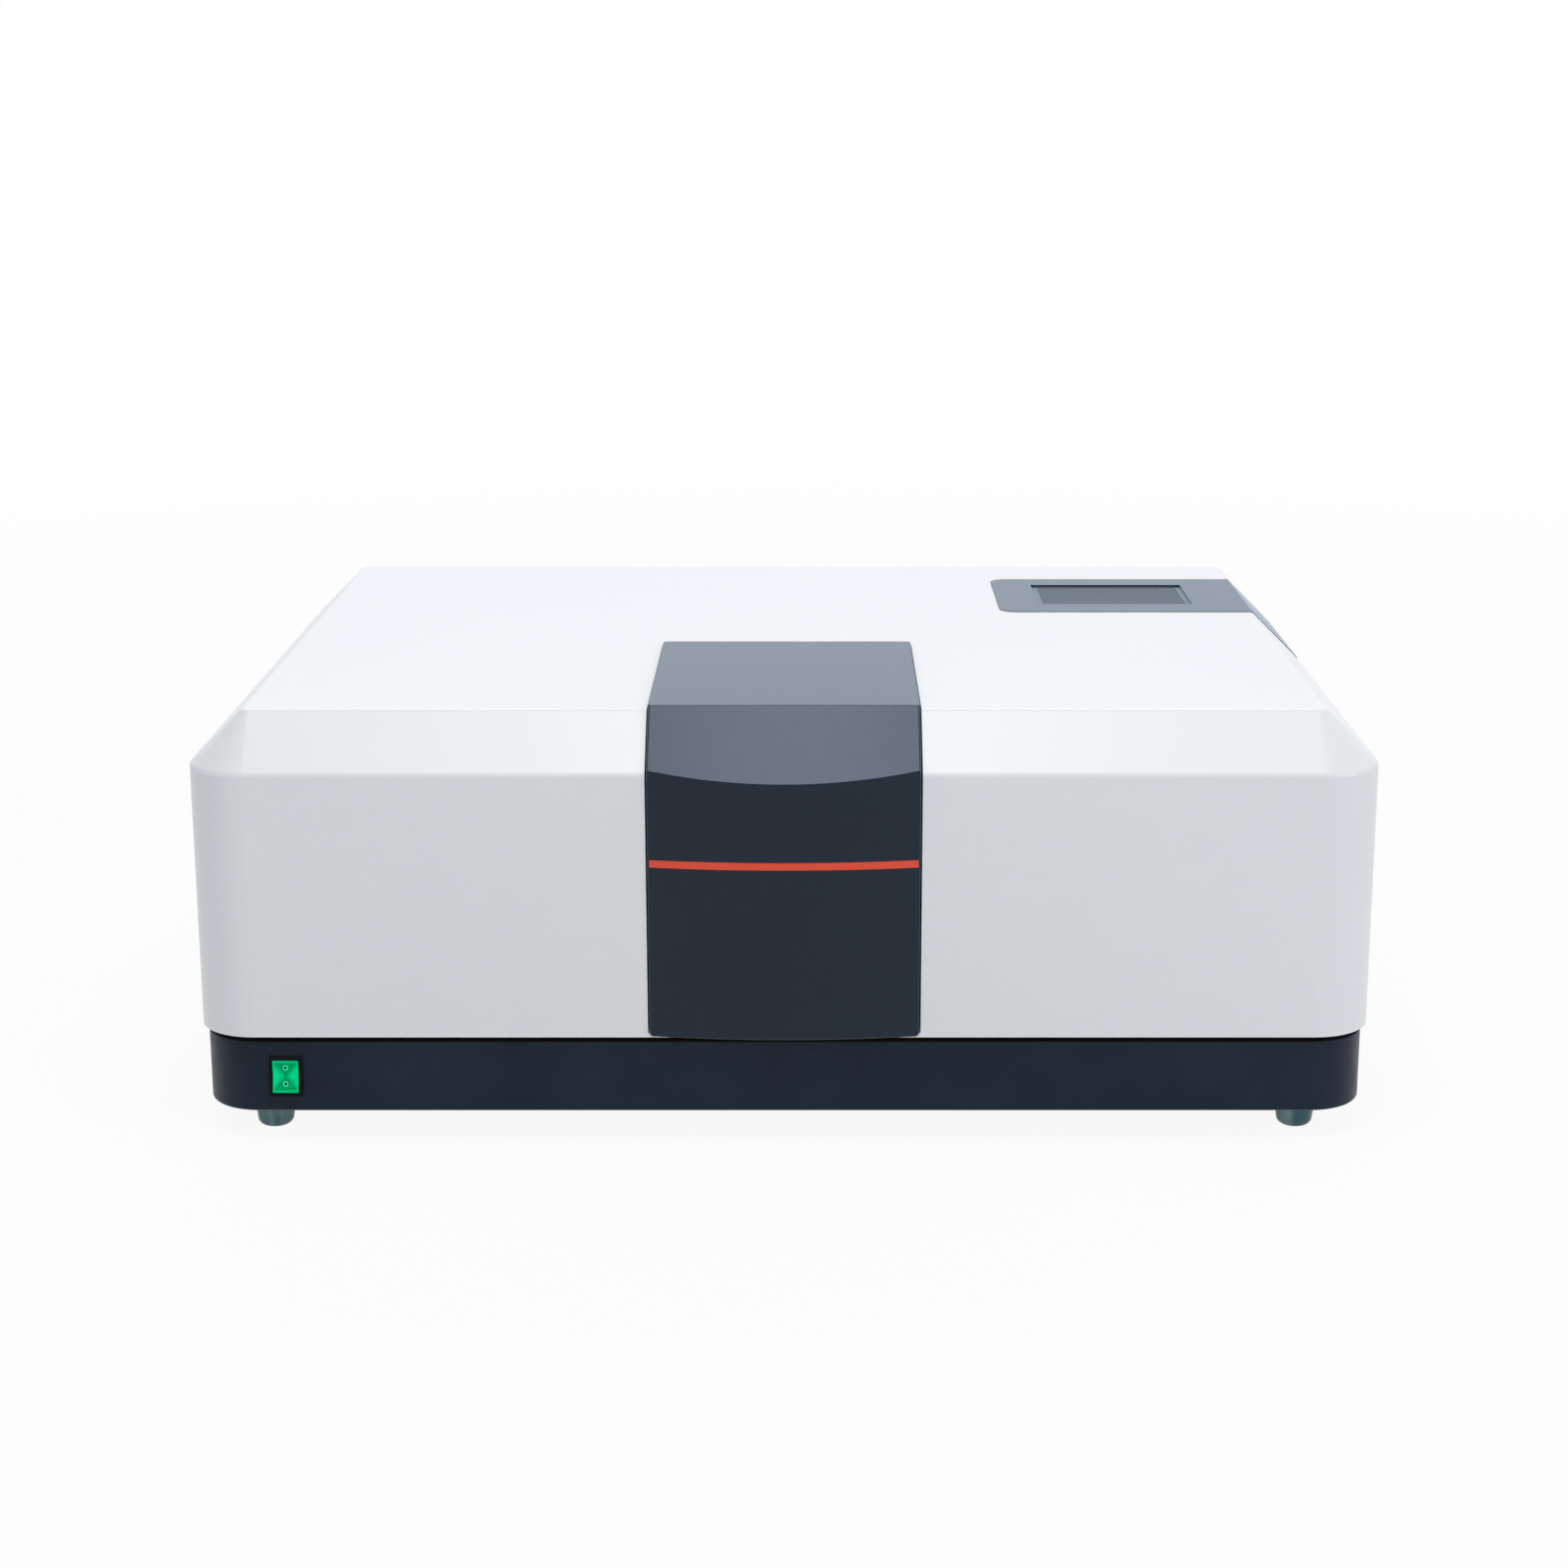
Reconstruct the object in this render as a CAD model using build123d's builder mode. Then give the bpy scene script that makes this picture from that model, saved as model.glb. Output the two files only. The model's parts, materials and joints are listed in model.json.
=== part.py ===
from build123d import *
import os
from math import cos, isclose, pi, radians, sin, sqrt, tan

# Double-beam bench spectrophotometer, millimetres.
# +X is the right-hand side as the user sees it, +Y the back, +Z up.
# The origin is the middle of the footprint, on the bench top.

# Case
case_w = 880
case_d = 640
case_top = 323
bevel = 40
front_corner_r = 46
rear_corner_r = 15
crease_r = 5
hood_wall = 2.5
hood_lip = 12
hood_sill = 3.2
through_cut = 20

# Feet, tray and gasket
foot_h = 22
foot_top_r = 16
foot_low_r = 13
foot_edge_r = 6
foot_side_in = 52
foot_front_in = 39
foot_screw_r = 3
tray_h = 57
tray_in = 4
tray_wall = 3
tray_edge_r = 3
tray_flange = 16
gasket_t = 3
gasket_in = 7
gasket_w = 7

# Sample compartment lid
lid_w = 200
lid_long = 280
lid_wall = 3
lid_proud = 3.5
lid_side_proud = 1.5
lid_bow = 8.5
lid_sill = 1
lid_lip_gap = 0.5
lid_depth = 12.5
lid_roll_r = 8
lid_corner_r = 5
lid_foot_r = 3
lid_edge_r = 1.5
lid_gap = 1.2
lid_return = 3
lid_rib_spread = 50
lid_rib_t = 2
lid_rib_depth = 7
lid_rib_hinge_in = 20
stripe_h = 5.5
stripe_z = 216.6
stripe_t = 1.5
stripe_proud = 0.3
stripe_end_in = 1.5
stripe_fit = 0.1

# Lid hinge
hinge_spread = 120
hinge_eye_r = 4.2
hinge_pin_r = 2
hinge_pin_out = 0.5
hinge_under_skin = 5.5
lug_w = 8
lug_heel = 3.4
ear_t = 3
ear_gap = 0.3
hinge_foot_t = 2
hinge_column_d = 8

# Sample compartment
rim_depth = 16
rim_gap = 0.3
rim_t = 2
rim_w = 24
rim_back_w = 14
tub_wall = 3
tub_half = 88
tub_back_in = 20
tub_floor_z = 93
seal_w = 7.5
seal_gap = 0.3
seal_back_in = 20
port_r = 10
window_r = 13
window_t = 1.5
window_fit = 0.15
beam_z = 140
sample_beam_in = 95
reference_beam_in = 225

# Cell changer
cell_side = 12.5
cell_pitch = 18
cell_places = 4
cell_fit = 0.2
cell_block_half = 11
cell_block_h = 34
cell_block_r = 1.5
cell_seat_h = 3
beam_slot_l = 10
beam_slot_w = 6
holder_foot_w = 8
holder_foot_t = 4
holder_foot_r = 2
rod_r = 3
rod_spread = 60
rod_z = 102
end_block_w = 80
end_block_t = 8
end_block_top = 110
end_block_r = 5
carriage_w = 78
carriage_l = 40
carriage_low = 95
carriage_top = 112
carriage_r = 3
groove_spread = 30
groove_w = 8
changer_front_in = 24
changer_reach = 148
screw_r = 3
screw_in_motor = 10
screw_front_in = 2
running_fit = 0.05
nut_fit = 0.3
motor_fit = 0.2
changer_motor_r = 8.5
changer_motor_l = 28

# Optical bench
bench_t = 8
bench_in = 30
bench_rib_h = 20
bench_rib_t = 8
bench_rib_in = 40
bench_r = 20
leg_r = 12
leg_in = 60

# Vent at the right rear
vent_in = 257
vent_back_in = 67
vent_long = 156
vent_drop = 70
vent_corner_r = 14
vent_proud = 0.5
vent_rim = 6
vent_rim_t = 2
vent_fit = 0.4
vent_cut_over = 2
louvre_in = 35
louvre_w = 135
louvre_front_in = 34
louvre_d = 92
louvre_sink = 1.5
louvre_frame = 5
louvre_pitch = 8
louvre_blade_w = 6.4
louvre_blade_t = 1.6
louvre_tilt = 12
louvre_h = 5
slot_w = 4
slot_l = 100
slot_pitch = 9
side_slots = 5

# Rocker switch
switch_in = 67.5
switch_z = 50
bezel_w = 25.5
bezel_h = 31
bezel_t = 2
bezel_r = 1.5
bezel_chamfer = 0.6
rocker_w = 20
rocker_r = 13
rocker_fit = 0.35
rocker_throw = 14
rocker_side_fit = 0.25
switch_body_w = 22
switch_body_h = 28
switch_body_d = 24
rocker_pivot_in = 0.5
rocker_face = 3.4
rocker_dip = 1.8
rocker_axle_r = 1.5
rocker_axle_out = 0.9

# Back of the case
panel_in = 60
panel_low = 104
panel_high = 268
panel_t = 1.5
panel_lap = 12
panel_corner_r = 6
panel_fit = 0.2
panel_slots = 8
panel_slot_pitch = 12
panel_slot_l = 160
panel_slot_w = 5
panel_screw_r = 1.8
panel_screw_head_r = 3.5
panel_screw_head_h = 2
fan_in = 150
fan_z = 186
fan_size = 120
fan_d = 25
fan_bore_r = 57
fan_hub_r = 20
fan_blades = 7
fan_tip_gap = 1.5
fan_corner_r = 6
fan_hole_pitch = 105
fan_hole_r = 2.2
fan_arm_w = 5
fan_arm_t = 4
fan_hub_gap = 1
fan_shaft_l = 19
fan_rotor_d = 18
fan_blade_chord = 22
fan_blade_t = 2
fan_blade_pitch = 38
guard_wire = 1.8
guard_rings = 4
guard_off = 1.2
guard_eye_r = 8
guard_foot_in = 3.25
guard_foot_r = 5
inlet_in = 110
inlet_z = 160
inlet_w = 31
inlet_h = 50
inlet_t = 3
inlet_r = 3
inlet_d = 22
inlet_body_w = 27
inlet_body_h = 46
recess_drop = 8
recess_d = 18
recess_half_w = 12
recess_half_h = 8
recess_cut = 4
pin_l = 13
pin_w = 2
pin_h = 4
pin_spread = 7
pin_drop = 1.5
earth_pin_up = 2.5
drawer_w = 25
drawer_h = 11
drawer_d = 18
drawer_end_gap = 1
grip_up = 3
grip_in = 5
grip_h = 2
grip_t = 1.5
drawer_fit = 0.2
drawer_z = 14.5
fuse_l = 20
fuse_r = 2.5
fuse_fit = 0.2
fuse_in = 5
socket_in = 178
socket_w = 12
socket_h = 11
socket_d = 16
socket_wall = 1
socket_out = 0.5
socket_mouth_d = 9.5
tongue_w = 5.5
tongue_h = 3.2
tongue_l = 4.5

# Lamp house, under the vent
lamp_house_w = 190
lamp_house_d = 160
lamp_house_h = 150
lamp_house_wall = 2
lamp_house_r = 4
house_slots = 5
house_slot_up = 30
house_slot_pitch = 14
house_slot_l = 120
house_slot_w = 6
lamp_wall_in = 35
lamp_house_side_in = 145
lamp_house_back_in = 145
lamp_port_r = 12
lamp_r = 15
lamp_h = 70
lamp_dome_r = 9
bulb_r = 7
bulb_h = 36
bulb_dome_r = 5
socket_r = 18
lamp_socket_h = 22
lamp_socket_edge_r = 2

# Turning pieces inside
wheel_r = 34
wheel_t = 4
wheel_filters = 6
wheel_filter_r = 8
wheel_filter_ring = 22
wheel_filter_in = 0.5
wheel_out = 42
small_motor_r = 14
small_motor_l = 26
motor_end_t = 6
motor_gap = 2
shaft_r = 2.5
shaft_in_motor = 12
shaft_end_gap = 1
chopper_r = 40
chopper_t = 2
chopper_sectors = 3
chopper_hub_r = 14
chopper_rim = 4
chopper_out = 28
chopper_in = 250
source_mirror_w = 30
source_mirror_h = 34
mirror_t = 6
mirror_corner_r = 2
source_turn = 135
detector_turn = 45
post_r = 6
post_in_mirror = 1
fold_out = 50
fold_turn = 45
table_r = 38
table_t = 6
grating_w = 40
grating_h = 40
grating_t = 9
spine_half = 3
spine_h = 32
grating_motor_w = 42
grating_motor_r = 4

# Monochromator
mono_side_in = 50
mono_wheel_room = 80
mono_front_in = 300
mono_back_in = 40
mono_h = 140
mono_wall = 6
mono_cover_t = 4
mono_cover_r = 1.5
mono_corner_r = 8
mono_slit_r = 9
slit_plate_w = 34
slit_plate_t = 2
slit_w = 1
slit_h = 12
curved_mirror_r = 32
curved_mirror_t = 12
mirror_sag = 2
mirror_block_w = 36
mirror_block_in = 22
mirror_wall_in = 40
mirror_toe = 8
camera_mirror_in = 60
turret_side_in = 110
turret_front_in = 100

# Detector box
detector_out = 62
detector_side_in = 40
detector_front_in = 60
detector_back_in = 270
detector_h = 120
detector_wall = 4
detector_corner_r = 6
tube_r = 14
tube_h = 60
tube_base_h = 24
tube_base_out = 3
tube_dome_r = 7
tube_wall_in = 40
ir_r = 12
ir_l = 30
ir_wall_in = 60

# Supplies and boards
supply_w = 190
supply_d = 110
supply_h = 34
supply_side_in = 140
supply_leg_gap = 3
supply_slots = 14
supply_slot_pitch = 9
supply_slot_l = 70
supply_slot_w = 4
board_t = 1.6
board_w = 210
board_d = 150
board_x = 60
board_back_in = 210
standoff_h = 8
standoff_r = 3.5
standoff_in = 8
lamp_board_in = 170
chip_h = 3
chip_columns = 3
chip_rows = 2
chip_share = 8

os.makedirs("parts", exist_ok=True)

front = -case_d / 2
back = case_d / 2
tray_top = foot_h + tray_h
hood_low = tray_top + gasket_t
lid_low = hood_low + lid_sill
open_low = hood_low + hood_sill
lid_floor = open_low + lid_gap
lid_top = case_top + lid_proud
lid_back = front + lid_long
open_half = lid_w / 2 + lid_gap
open_back = lid_back + lid_gap
collar_depth = rim_depth - rim_gap
hinge_y = lid_back - lid_roll_r
hinge_z = lid_top - lid_wall - hinge_under_skin
slope_lean = tan(radians(22.5))
tub_back = lid_back - tub_back_in
sample_beam = front + sample_beam_in
reference_beam = front + reference_beam_in
tray_floor = foot_h + tray_wall
left = -case_w / 2
right = case_w / 2
bench_top = tub_floor_z - tub_wall
switch_x = left + switch_in
panel_half_w = case_w / 2 - panel_in
fan_x = right - fan_in
inlet_x = left + inlet_in
socket_x = left + socket_in
lamp_house_x = right - lamp_house_side_in
fold_x = -(tub_half + fold_out)


def panel_screw_places():
    """Two rows of screws in the middle of the rear panel's lap over the hood, seen from behind."""
    rows = (panel_low - panel_lap / 2, panel_high + panel_lap / 2)
    step = (panel_half_w + panel_lap / 2) / 2
    return [(column * step, z) for z in rows for column in range(-2, 3)]


def save(name, builder):
    """Labels a finished piece and writes it out under the same name."""
    builder.part.label = name
    export_step(builder.part, f"parts/{name}.step")


def shoulder(inset, far, low):
    """Corner points of the case's side view drawn inside it: along the top, down the slope and the front."""
    lean = inset * slope_lean
    return [
        (far, case_top - inset),
        (front + bevel + lean, case_top - inset),
        (front + inset, case_top - bevel - lean),
        (front + inset, low),
    ]


def flank(inset, near, low):
    """The same for the right-hand side, seen from the front."""
    lean = inset * slope_lean
    return [
        (near, case_top - inset),
        (right - bevel - lean, case_top - inset),
        (right - inset, case_top - bevel - lean),
        (right - inset, low),
    ]


def polygon_face(plane, points):
    """A flat face through the given corner points."""
    with BuildSketch(plane) as face:
        with BuildLine():
            Polyline(*points, close=True)
        make_face()
    return face.sketch


def shoulder_face(inset, far, low):
    """Everything of the case's side view that lies deeper than the inset."""
    return polygon_face(Plane.YZ, shoulder(inset, far, low) + [(far, low)])


def plan_face(inset, z):
    """The case's outline in plan, drawn inside it by the inset."""
    with BuildSketch(Plane.XY.offset(z)) as face:
        Rectangle(case_w - 2 * inset, case_d - 2 * inset)
        near = face.vertices().group_by(Axis.Y)[0]
        far = face.vertices().group_by(Axis.Y)[-1]
        fillet(near, front_corner_r - inset)
        fillet(far, max(rear_corner_r - inset, 1))
    return face.sketch


def block_face(x0, x1, y0, y1, z, r=0):
    """A rectangle in plan between two corners, with rounded corners where r is given."""
    with BuildSketch(Plane.XY.offset(z)) as face:
        with Locations(((x0 + x1) / 2, (y0 + y1) / 2)):
            if r > 0:
                RectangleRounded(x1 - x0, y1 - y0, r)
            else:
                Rectangle(x1 - x0, y1 - y0)
    return face.sketch


def back_plane(y):
    """A plane facing the back of the case at the given depth: its x runs to the left, its y up."""
    return Plane(origin=(0, y, 0), x_dir=(-1, 0, 0), z_dir=(0, 1, 0))


def side_plane(x):
    """A plane facing right at the given place: its x runs to the back, its y up."""
    return Plane.YZ.offset(x)


def level_edges(form, z):
    """The form's edges that lie flat at one height, without the straight one along the back of the case."""
    flat = form.edges().filter_by_position(Axis.Z, z, z)
    return [e for e in flat if not isclose(e.bounding_box().min.Y, back, abs_tol=0.01)]


def case_form(inset, low):
    """The hood's outer form drawn inside itself: bevelled at the front and sides, square along the back."""
    leg = bevel - inset * (2 - sqrt(2))
    with BuildPart() as form:
        extrude(plan_face(inset, low), amount=case_top - inset - low)
        top_edges = form.faces().sort_by(Axis.Z)[-1].edges()
        rear_edge = top_edges.filter_by(Axis.X).sort_by(Axis.Y)[-1]
        chamfer([e for e in top_edges if e != rear_edge], leg)
        if inset == 0:
            upper = level_edges(form, case_top)
            lower = level_edges(form, case_top - bevel)
            fillet(upper + lower, crease_r)
    return form.part


# Base tray: folded chassis with a floor, rounded walls and an inward flange under the gasket
with BuildPart() as base_tray:
    extrude(plan_face(tray_in, foot_h), amount=tray_h)
    outer_rims = base_tray.edges().group_by(Axis.Z)
    fillet(outer_rims[0] + outer_rims[-1], tray_edge_r)
    extrude(plan_face(tray_in + tray_wall, tray_floor), amount=tray_h - 2 * tray_wall, mode=Mode.SUBTRACT)
    extrude(plan_face(tray_in + tray_flange, tray_floor), amount=tray_h, mode=Mode.SUBTRACT)
    with BuildSketch(Plane.XZ.offset(-front)) as switch_hole:
        with Locations((switch_x, switch_z)):
            Rectangle(switch_body_w + 2 * rocker_fit, switch_body_h + 2 * rocker_fit)
    extrude(amount=-(tray_in + tray_wall + 1), mode=Mode.SUBTRACT)
    with BuildSketch(Plane.XY.offset(foot_h)) as foot_holes:
        with GridLocations(case_w - 2 * foot_side_in, case_d - 2 * foot_front_in, 2, 2):
            Circle(foot_screw_r + running_fit)
    extrude(amount=tray_wall, mode=Mode.SUBTRACT)
save("base_tray", base_tray)

# Gasket: black strip that closes the joint between tray and hood
with BuildPart() as hood_gasket:
    extrude(plan_face(gasket_in, tray_top), amount=gasket_t)
    extrude(plan_face(gasket_in + gasket_w, tray_top), amount=gasket_t, mode=Mode.SUBTRACT)
save("hood_gasket", hood_gasket)

# Feet: tapered pads with a rounded lower edge and a stud up into the tray floor
with BuildPart() as feet:
    with BuildSketch(Plane.XZ) as foot_profile:
        with BuildLine():
            Polyline(
                (0, 0),
                (foot_low_r, 0),
                (foot_top_r, foot_h),
                (foot_screw_r, foot_h),
                (foot_screw_r, tray_floor),
                (0, tray_floor),
                close=True,
            )
        make_face()
        fillet(foot_profile.vertices().sort_by(Axis.Y)[:2].sort_by(Axis.X)[-1], foot_edge_r)
    one_foot = revolve(foot_profile.sketch, axis=Axis.Z, mode=Mode.PRIVATE)
    with GridLocations(case_w - 2 * foot_side_in, case_d - 2 * foot_front_in, 2, 2):
        add(one_foot)
save("feet", feet)

# Hood: moulded shell with the lid's opening and its turned-in collar, the vent cut-out and the back window
hood_outside = case_form(0, hood_low)
hood_inside = case_form(hood_wall, hood_low + hood_wall)
collar_half = open_half + hood_wall
collar_back = open_back + hood_wall
collar_low = open_low - hood_wall
vent_left = right - vent_in
vent_back = back - vent_back_in
vent_front = vent_back - vent_long
vent_low = case_top - bevel - vent_drop


def vent_prism(inset_out, inset_in, grow):
    """The vent panel's bent strip between two depths, grown all round: over top, bevel and side."""
    outline = flank(inset_out, vent_left - grow, vent_low - grow)
    inner = flank(inset_in, vent_left - grow, vent_low - grow)
    plane = Plane.XZ.offset(-(vent_back + grow))
    with BuildPart() as strip:
        extrude(polygon_face(plane, outline + inner[::-1]), amount=vent_long + 2 * grow)
        ends = strip.edges().filter_by(Axis.Z).group_by(Axis.X)[0]
        fillet(ends, vent_corner_r + grow)
    return strip.part


vent_hole = vent_prism(-vent_cut_over, hood_wall + vent_cut_over, vent_fit)

with BuildPart() as hood:
    add(hood_outside)
    add(hood_inside, mode=Mode.SUBTRACT)
    extrude(plan_face(hood_lip, hood_low), amount=hood_wall, mode=Mode.SUBTRACT)
    extrude(shoulder_face(hood_wall / 2, collar_back, collar_low), amount=collar_half, both=True)
    extrude(
        shoulder_face(collar_depth, collar_back, collar_low),
        amount=collar_half,
        both=True,
        mode=Mode.SUBTRACT,
    )
    extrude(shoulder_face(-bevel, open_back, open_low), amount=open_half, both=True, mode=Mode.SUBTRACT)
    add(vent_hole, mode=Mode.SUBTRACT)
    with BuildSketch(back_plane(back)) as back_window:
        with Locations((0, (panel_low + panel_high) / 2)):
            RectangleRounded(2 * panel_half_w, panel_high - panel_low, panel_corner_r)
        with Locations(*panel_screw_places()):
            Circle(panel_screw_r)
    extrude(amount=-hood_wall, mode=Mode.SUBTRACT)
save("hood", hood)

# Lid: L-shaped shell with a bowed front, a sloped shoulder and a rolled rear edge that turns about the hinge


def lid_plan(inset, z):
    """The lid in plan: straight sides and back, and a front bowed outwards on one arc."""
    half = lid_w / 2 - inset
    bow_r = ((lid_w / 2) ** 2 + lid_bow**2) / (2 * lid_bow)
    nose = front - lid_side_proud - lid_bow + inset
    corner = nose + (bow_r - inset) - sqrt((bow_r - inset) ** 2 - half**2)
    with BuildSketch(Plane.XY.offset(z)) as face:
        with BuildLine():
            Line((-half, corner), (-half, lid_back - inset))
            Line((-half, lid_back - inset), (half, lid_back - inset))
            Line((half, lid_back - inset), (half, corner))
            ThreePointArc((half, corner), (0, nose), (-half, corner))
        make_face()
        fillet(face.vertices().group_by(Axis.Y)[-1], max(lid_corner_r - inset, 1))
    return face.sketch


def lid_side(inset):
    """The lid seen from the side: rolled rear edge, flat top, 45 degree slope, straight front."""
    top = lid_top - inset
    far = lid_back - inset
    roll = lid_roll_r - inset
    crease = front + bevel - (lid_proud - inset) * slope_lean
    ahead = bevel
    with BuildSketch(Plane.YZ) as face:
        with BuildLine():
            Polyline(
                (far - roll, top),
                (crease, top),
                (front - ahead, top - (crease - front) - ahead),
                (front - ahead, lid_low + inset),
                (far, lid_low + inset),
                (far, top - roll),
            )
            CenterArc((far - roll, top - roll), roll, 0, 90)
        make_face()
    return face.sketch


def lid_form(inset):
    """The lid's full outer form, or the same drawn inside it for the hollow."""
    with BuildPart() as form:
        extrude(lid_plan(inset, lid_low + inset), amount=lid_top - lid_low - 2 * inset)
        extrude(lid_side(inset), amount=lid_w, both=True, mode=Mode.INTERSECT)
    return form.part


def bow_strip(half, out, deep, z, tall):
    """A strip that follows the lid's bowed front, from out in front of it to deep behind it."""
    bow_r = ((lid_w / 2) ** 2 + lid_bow**2) / (2 * lid_bow)
    centre = front - lid_side_proud - lid_bow + bow_r
    outer = bow_r + out
    inner = bow_r - deep

    def reach(r):
        return centre - sqrt(r**2 - half**2)

    with BuildPart() as strip:
        with BuildSketch(Plane.XY.offset(z - tall / 2)):
            with BuildLine():
                ThreePointArc((-half, reach(outer)), (0, centre - outer), (half, reach(outer)))
                Line((half, reach(outer)), (half, reach(inner)))
                ThreePointArc((half, reach(inner)), (0, centre - inner), (-half, reach(inner)))
                Line((-half, reach(inner)), (-half, reach(outer)))
            make_face()
        extrude(amount=tall)
    return strip.part


def lid_ribs():
    """Stiffening ribs inside the lid: thin slices of its form, from the skin down to one depth."""
    rib_x = lid_rib_spread / 2
    with BuildPart() as slices:
        with Locations((-rib_x, front / 2, case_top / 2), (rib_x, front / 2, case_top / 2)):
            Box(lid_rib_t, case_d, 2 * case_top)
    with BuildPart() as ribs:
        add(lid_form(lid_wall / 2))
        add(slices.part, mode=Mode.INTERSECT)
        extrude(shoulder_face(lid_rib_depth, lid_back, 0), amount=lid_w, both=True, mode=Mode.SUBTRACT)
        behind = block_face(-lid_w, lid_w, hinge_y - lid_rib_hinge_in, back, 0)
        extrude(behind, amount=2 * case_top, mode=Mode.SUBTRACT)
    return ribs.part


def hinge_places():
    """The two hinges' middles along the lid's rear edge."""
    return (-hinge_spread / 2, hinge_spread / 2)


def lid_hollow():
    """The room inside the lid's walls, down to the flange along its lower edge."""
    with BuildPart() as hollow:
        add(lid_form(lid_wall))
        below = block_face(-lid_w, lid_w, 2 * front, back, 0)
        extrude(below, amount=lid_floor + lid_wall, mode=Mode.SUBTRACT)
    return hollow.part


def under_flange():
    """What is cut away under the lid's flange: only its bowed front lip hangs over the hood's sill."""
    with BuildPart() as cut:
        extrude(lid_plan(lid_wall, 0), amount=lid_floor)
        extrude(block_face(-lid_w, lid_w, front - lid_lip_gap, back, 0), amount=lid_floor)
    return cut.part


stripe_half = lid_w / 2 - stripe_end_in
stripe_deep = stripe_t - stripe_proud
stripe_groove = bow_strip(
    stripe_half + stripe_fit, 2, stripe_deep + stripe_fit, stripe_z, stripe_h + 2 * stripe_fit
)

with BuildPart() as sample_lid:
    add(lid_form(0))
    low_sides = sample_lid.edges().filter_by(Axis.Y).group_by(Axis.Z)[0]
    fillet(low_sides, lid_foot_r)
    ahead = [e for e in sample_lid.edges() if e.bounding_box().max.Y < front + bevel]
    fillet([e for e in ahead if e.bounding_box().max.Z > stripe_z], lid_edge_r)
    add(lid_hollow(), mode=Mode.SUBTRACT)
    inside = shoulder_face(lid_depth, lid_back - lid_wall, lid_low - 1)
    extrude(inside, amount=lid_w, both=True, mode=Mode.SUBTRACT)
    under_roll = [
        (lid_back - 2 * lid_wall, hinge_z - lid_return),
        (lid_back + 1, hinge_z - lid_return),
        (lid_back + 1, 0),
        (lid_back - 2 * lid_wall, 0),
    ]
    extrude(polygon_face(Plane.YZ, under_roll), amount=lid_w, both=True, mode=Mode.SUBTRACT)
    add(lid_ribs())
    add(under_flange(), mode=Mode.SUBTRACT)
    for x in hinge_places():
        with BuildSketch(side_plane(x)) as lug:
            with Locations((hinge_y, hinge_z)):
                Circle(hinge_eye_r)
            with BuildLine():
                Polyline(
                    (hinge_y - hinge_eye_r, hinge_z),
                    (hinge_y - 2 * hinge_eye_r, hinge_z + hinge_under_skin + lid_wall / 2),
                    (hinge_y, hinge_z + hinge_under_skin + lid_wall / 2),
                    (hinge_y + lug_heel, hinge_z + hinge_under_skin),
                    (hinge_y + hinge_eye_r, hinge_z),
                    close=True,
                )
            make_face()
        extrude(lug.sketch, amount=lug_w / 2, both=True)
    with BuildSketch(side_plane(-lid_w / 2)) as eye_bore:
        with Locations((hinge_y, hinge_z)):
            Circle(hinge_pin_r + running_fit)
    extrude(amount=lid_w, mode=Mode.SUBTRACT)
    add(stripe_groove, mode=Mode.SUBTRACT)
save("sample_lid", sample_lid)

# Red strip set in the lid's groove
with BuildPart() as lid_stripe:
    add(bow_strip(stripe_half, stripe_proud, stripe_deep, stripe_z, stripe_h))
save("lid_stripe", lid_stripe)

# Sample compartment: black tub with a rim that follows the hood behind the lid's opening
rim_half = tub_half + rim_w
rim_back = lid_back + rim_back_w
rim_low = hood_low

with BuildPart() as compartment_tub:
    extrude(
        shoulder_face(rim_depth, tub_back + tub_wall, bench_top),
        amount=tub_half + tub_wall,
        both=True,
    )
    skin = shoulder(rim_depth, rim_back, rim_low)
    core = shoulder(rim_depth + rim_t, rim_back, rim_low)
    extrude(polygon_face(Plane.YZ, skin + core[::-1]), amount=rim_half, both=True)
    extrude(shoulder_face(0, tub_back, tub_floor_z), amount=tub_half, both=True, mode=Mode.SUBTRACT)
    for y in (sample_beam, reference_beam):
        with BuildSketch(side_plane(-rim_half)) as port:
            with Locations((y, beam_z)):
                Circle(port_r)
        extrude(port.sketch, amount=2 * rim_half, mode=Mode.SUBTRACT)
        with BuildSketch(side_plane(-(tub_half + window_t))) as seat:
            with Locations((y, beam_z)):
                Circle(window_r + window_fit)
        extrude(seat.sketch, amount=2 * (tub_half + window_t), mode=Mode.SUBTRACT)
save("compartment_tub", compartment_tub)

# Beam windows: fused-silica discs set flush in the tub's side walls
with BuildPart() as beam_windows:
    for x in (-(tub_half + window_t), tub_half):
        with BuildSketch(side_plane(x)) as pane:
            with Locations((sample_beam, beam_z), (reference_beam, beam_z)):
                Circle(window_r)
        extrude(pane.sketch, amount=window_t)
save("beam_windows", beam_windows)

# Foam light seal on the tub's rim, under the lid's sides and its lower edge
seal_top = lid_depth + seal_gap
seal_half = open_half - seal_gap
seal_back = hinge_y - seal_back_in
with BuildPart() as compartment_seal:
    extrude(shoulder_face(seal_top, seal_back, open_low + seal_gap), amount=seal_half, both=True)
    extrude(
        shoulder_face(rim_depth, seal_back, open_low + seal_gap),
        amount=seal_half,
        both=True,
        mode=Mode.SUBTRACT,
    )
    extrude(
        shoulder_face(0, hinge_y, tub_floor_z),
        amount=seal_half - seal_w,
        both=True,
        mode=Mode.SUBTRACT,
    )
save("compartment_seal", compartment_seal)

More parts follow.
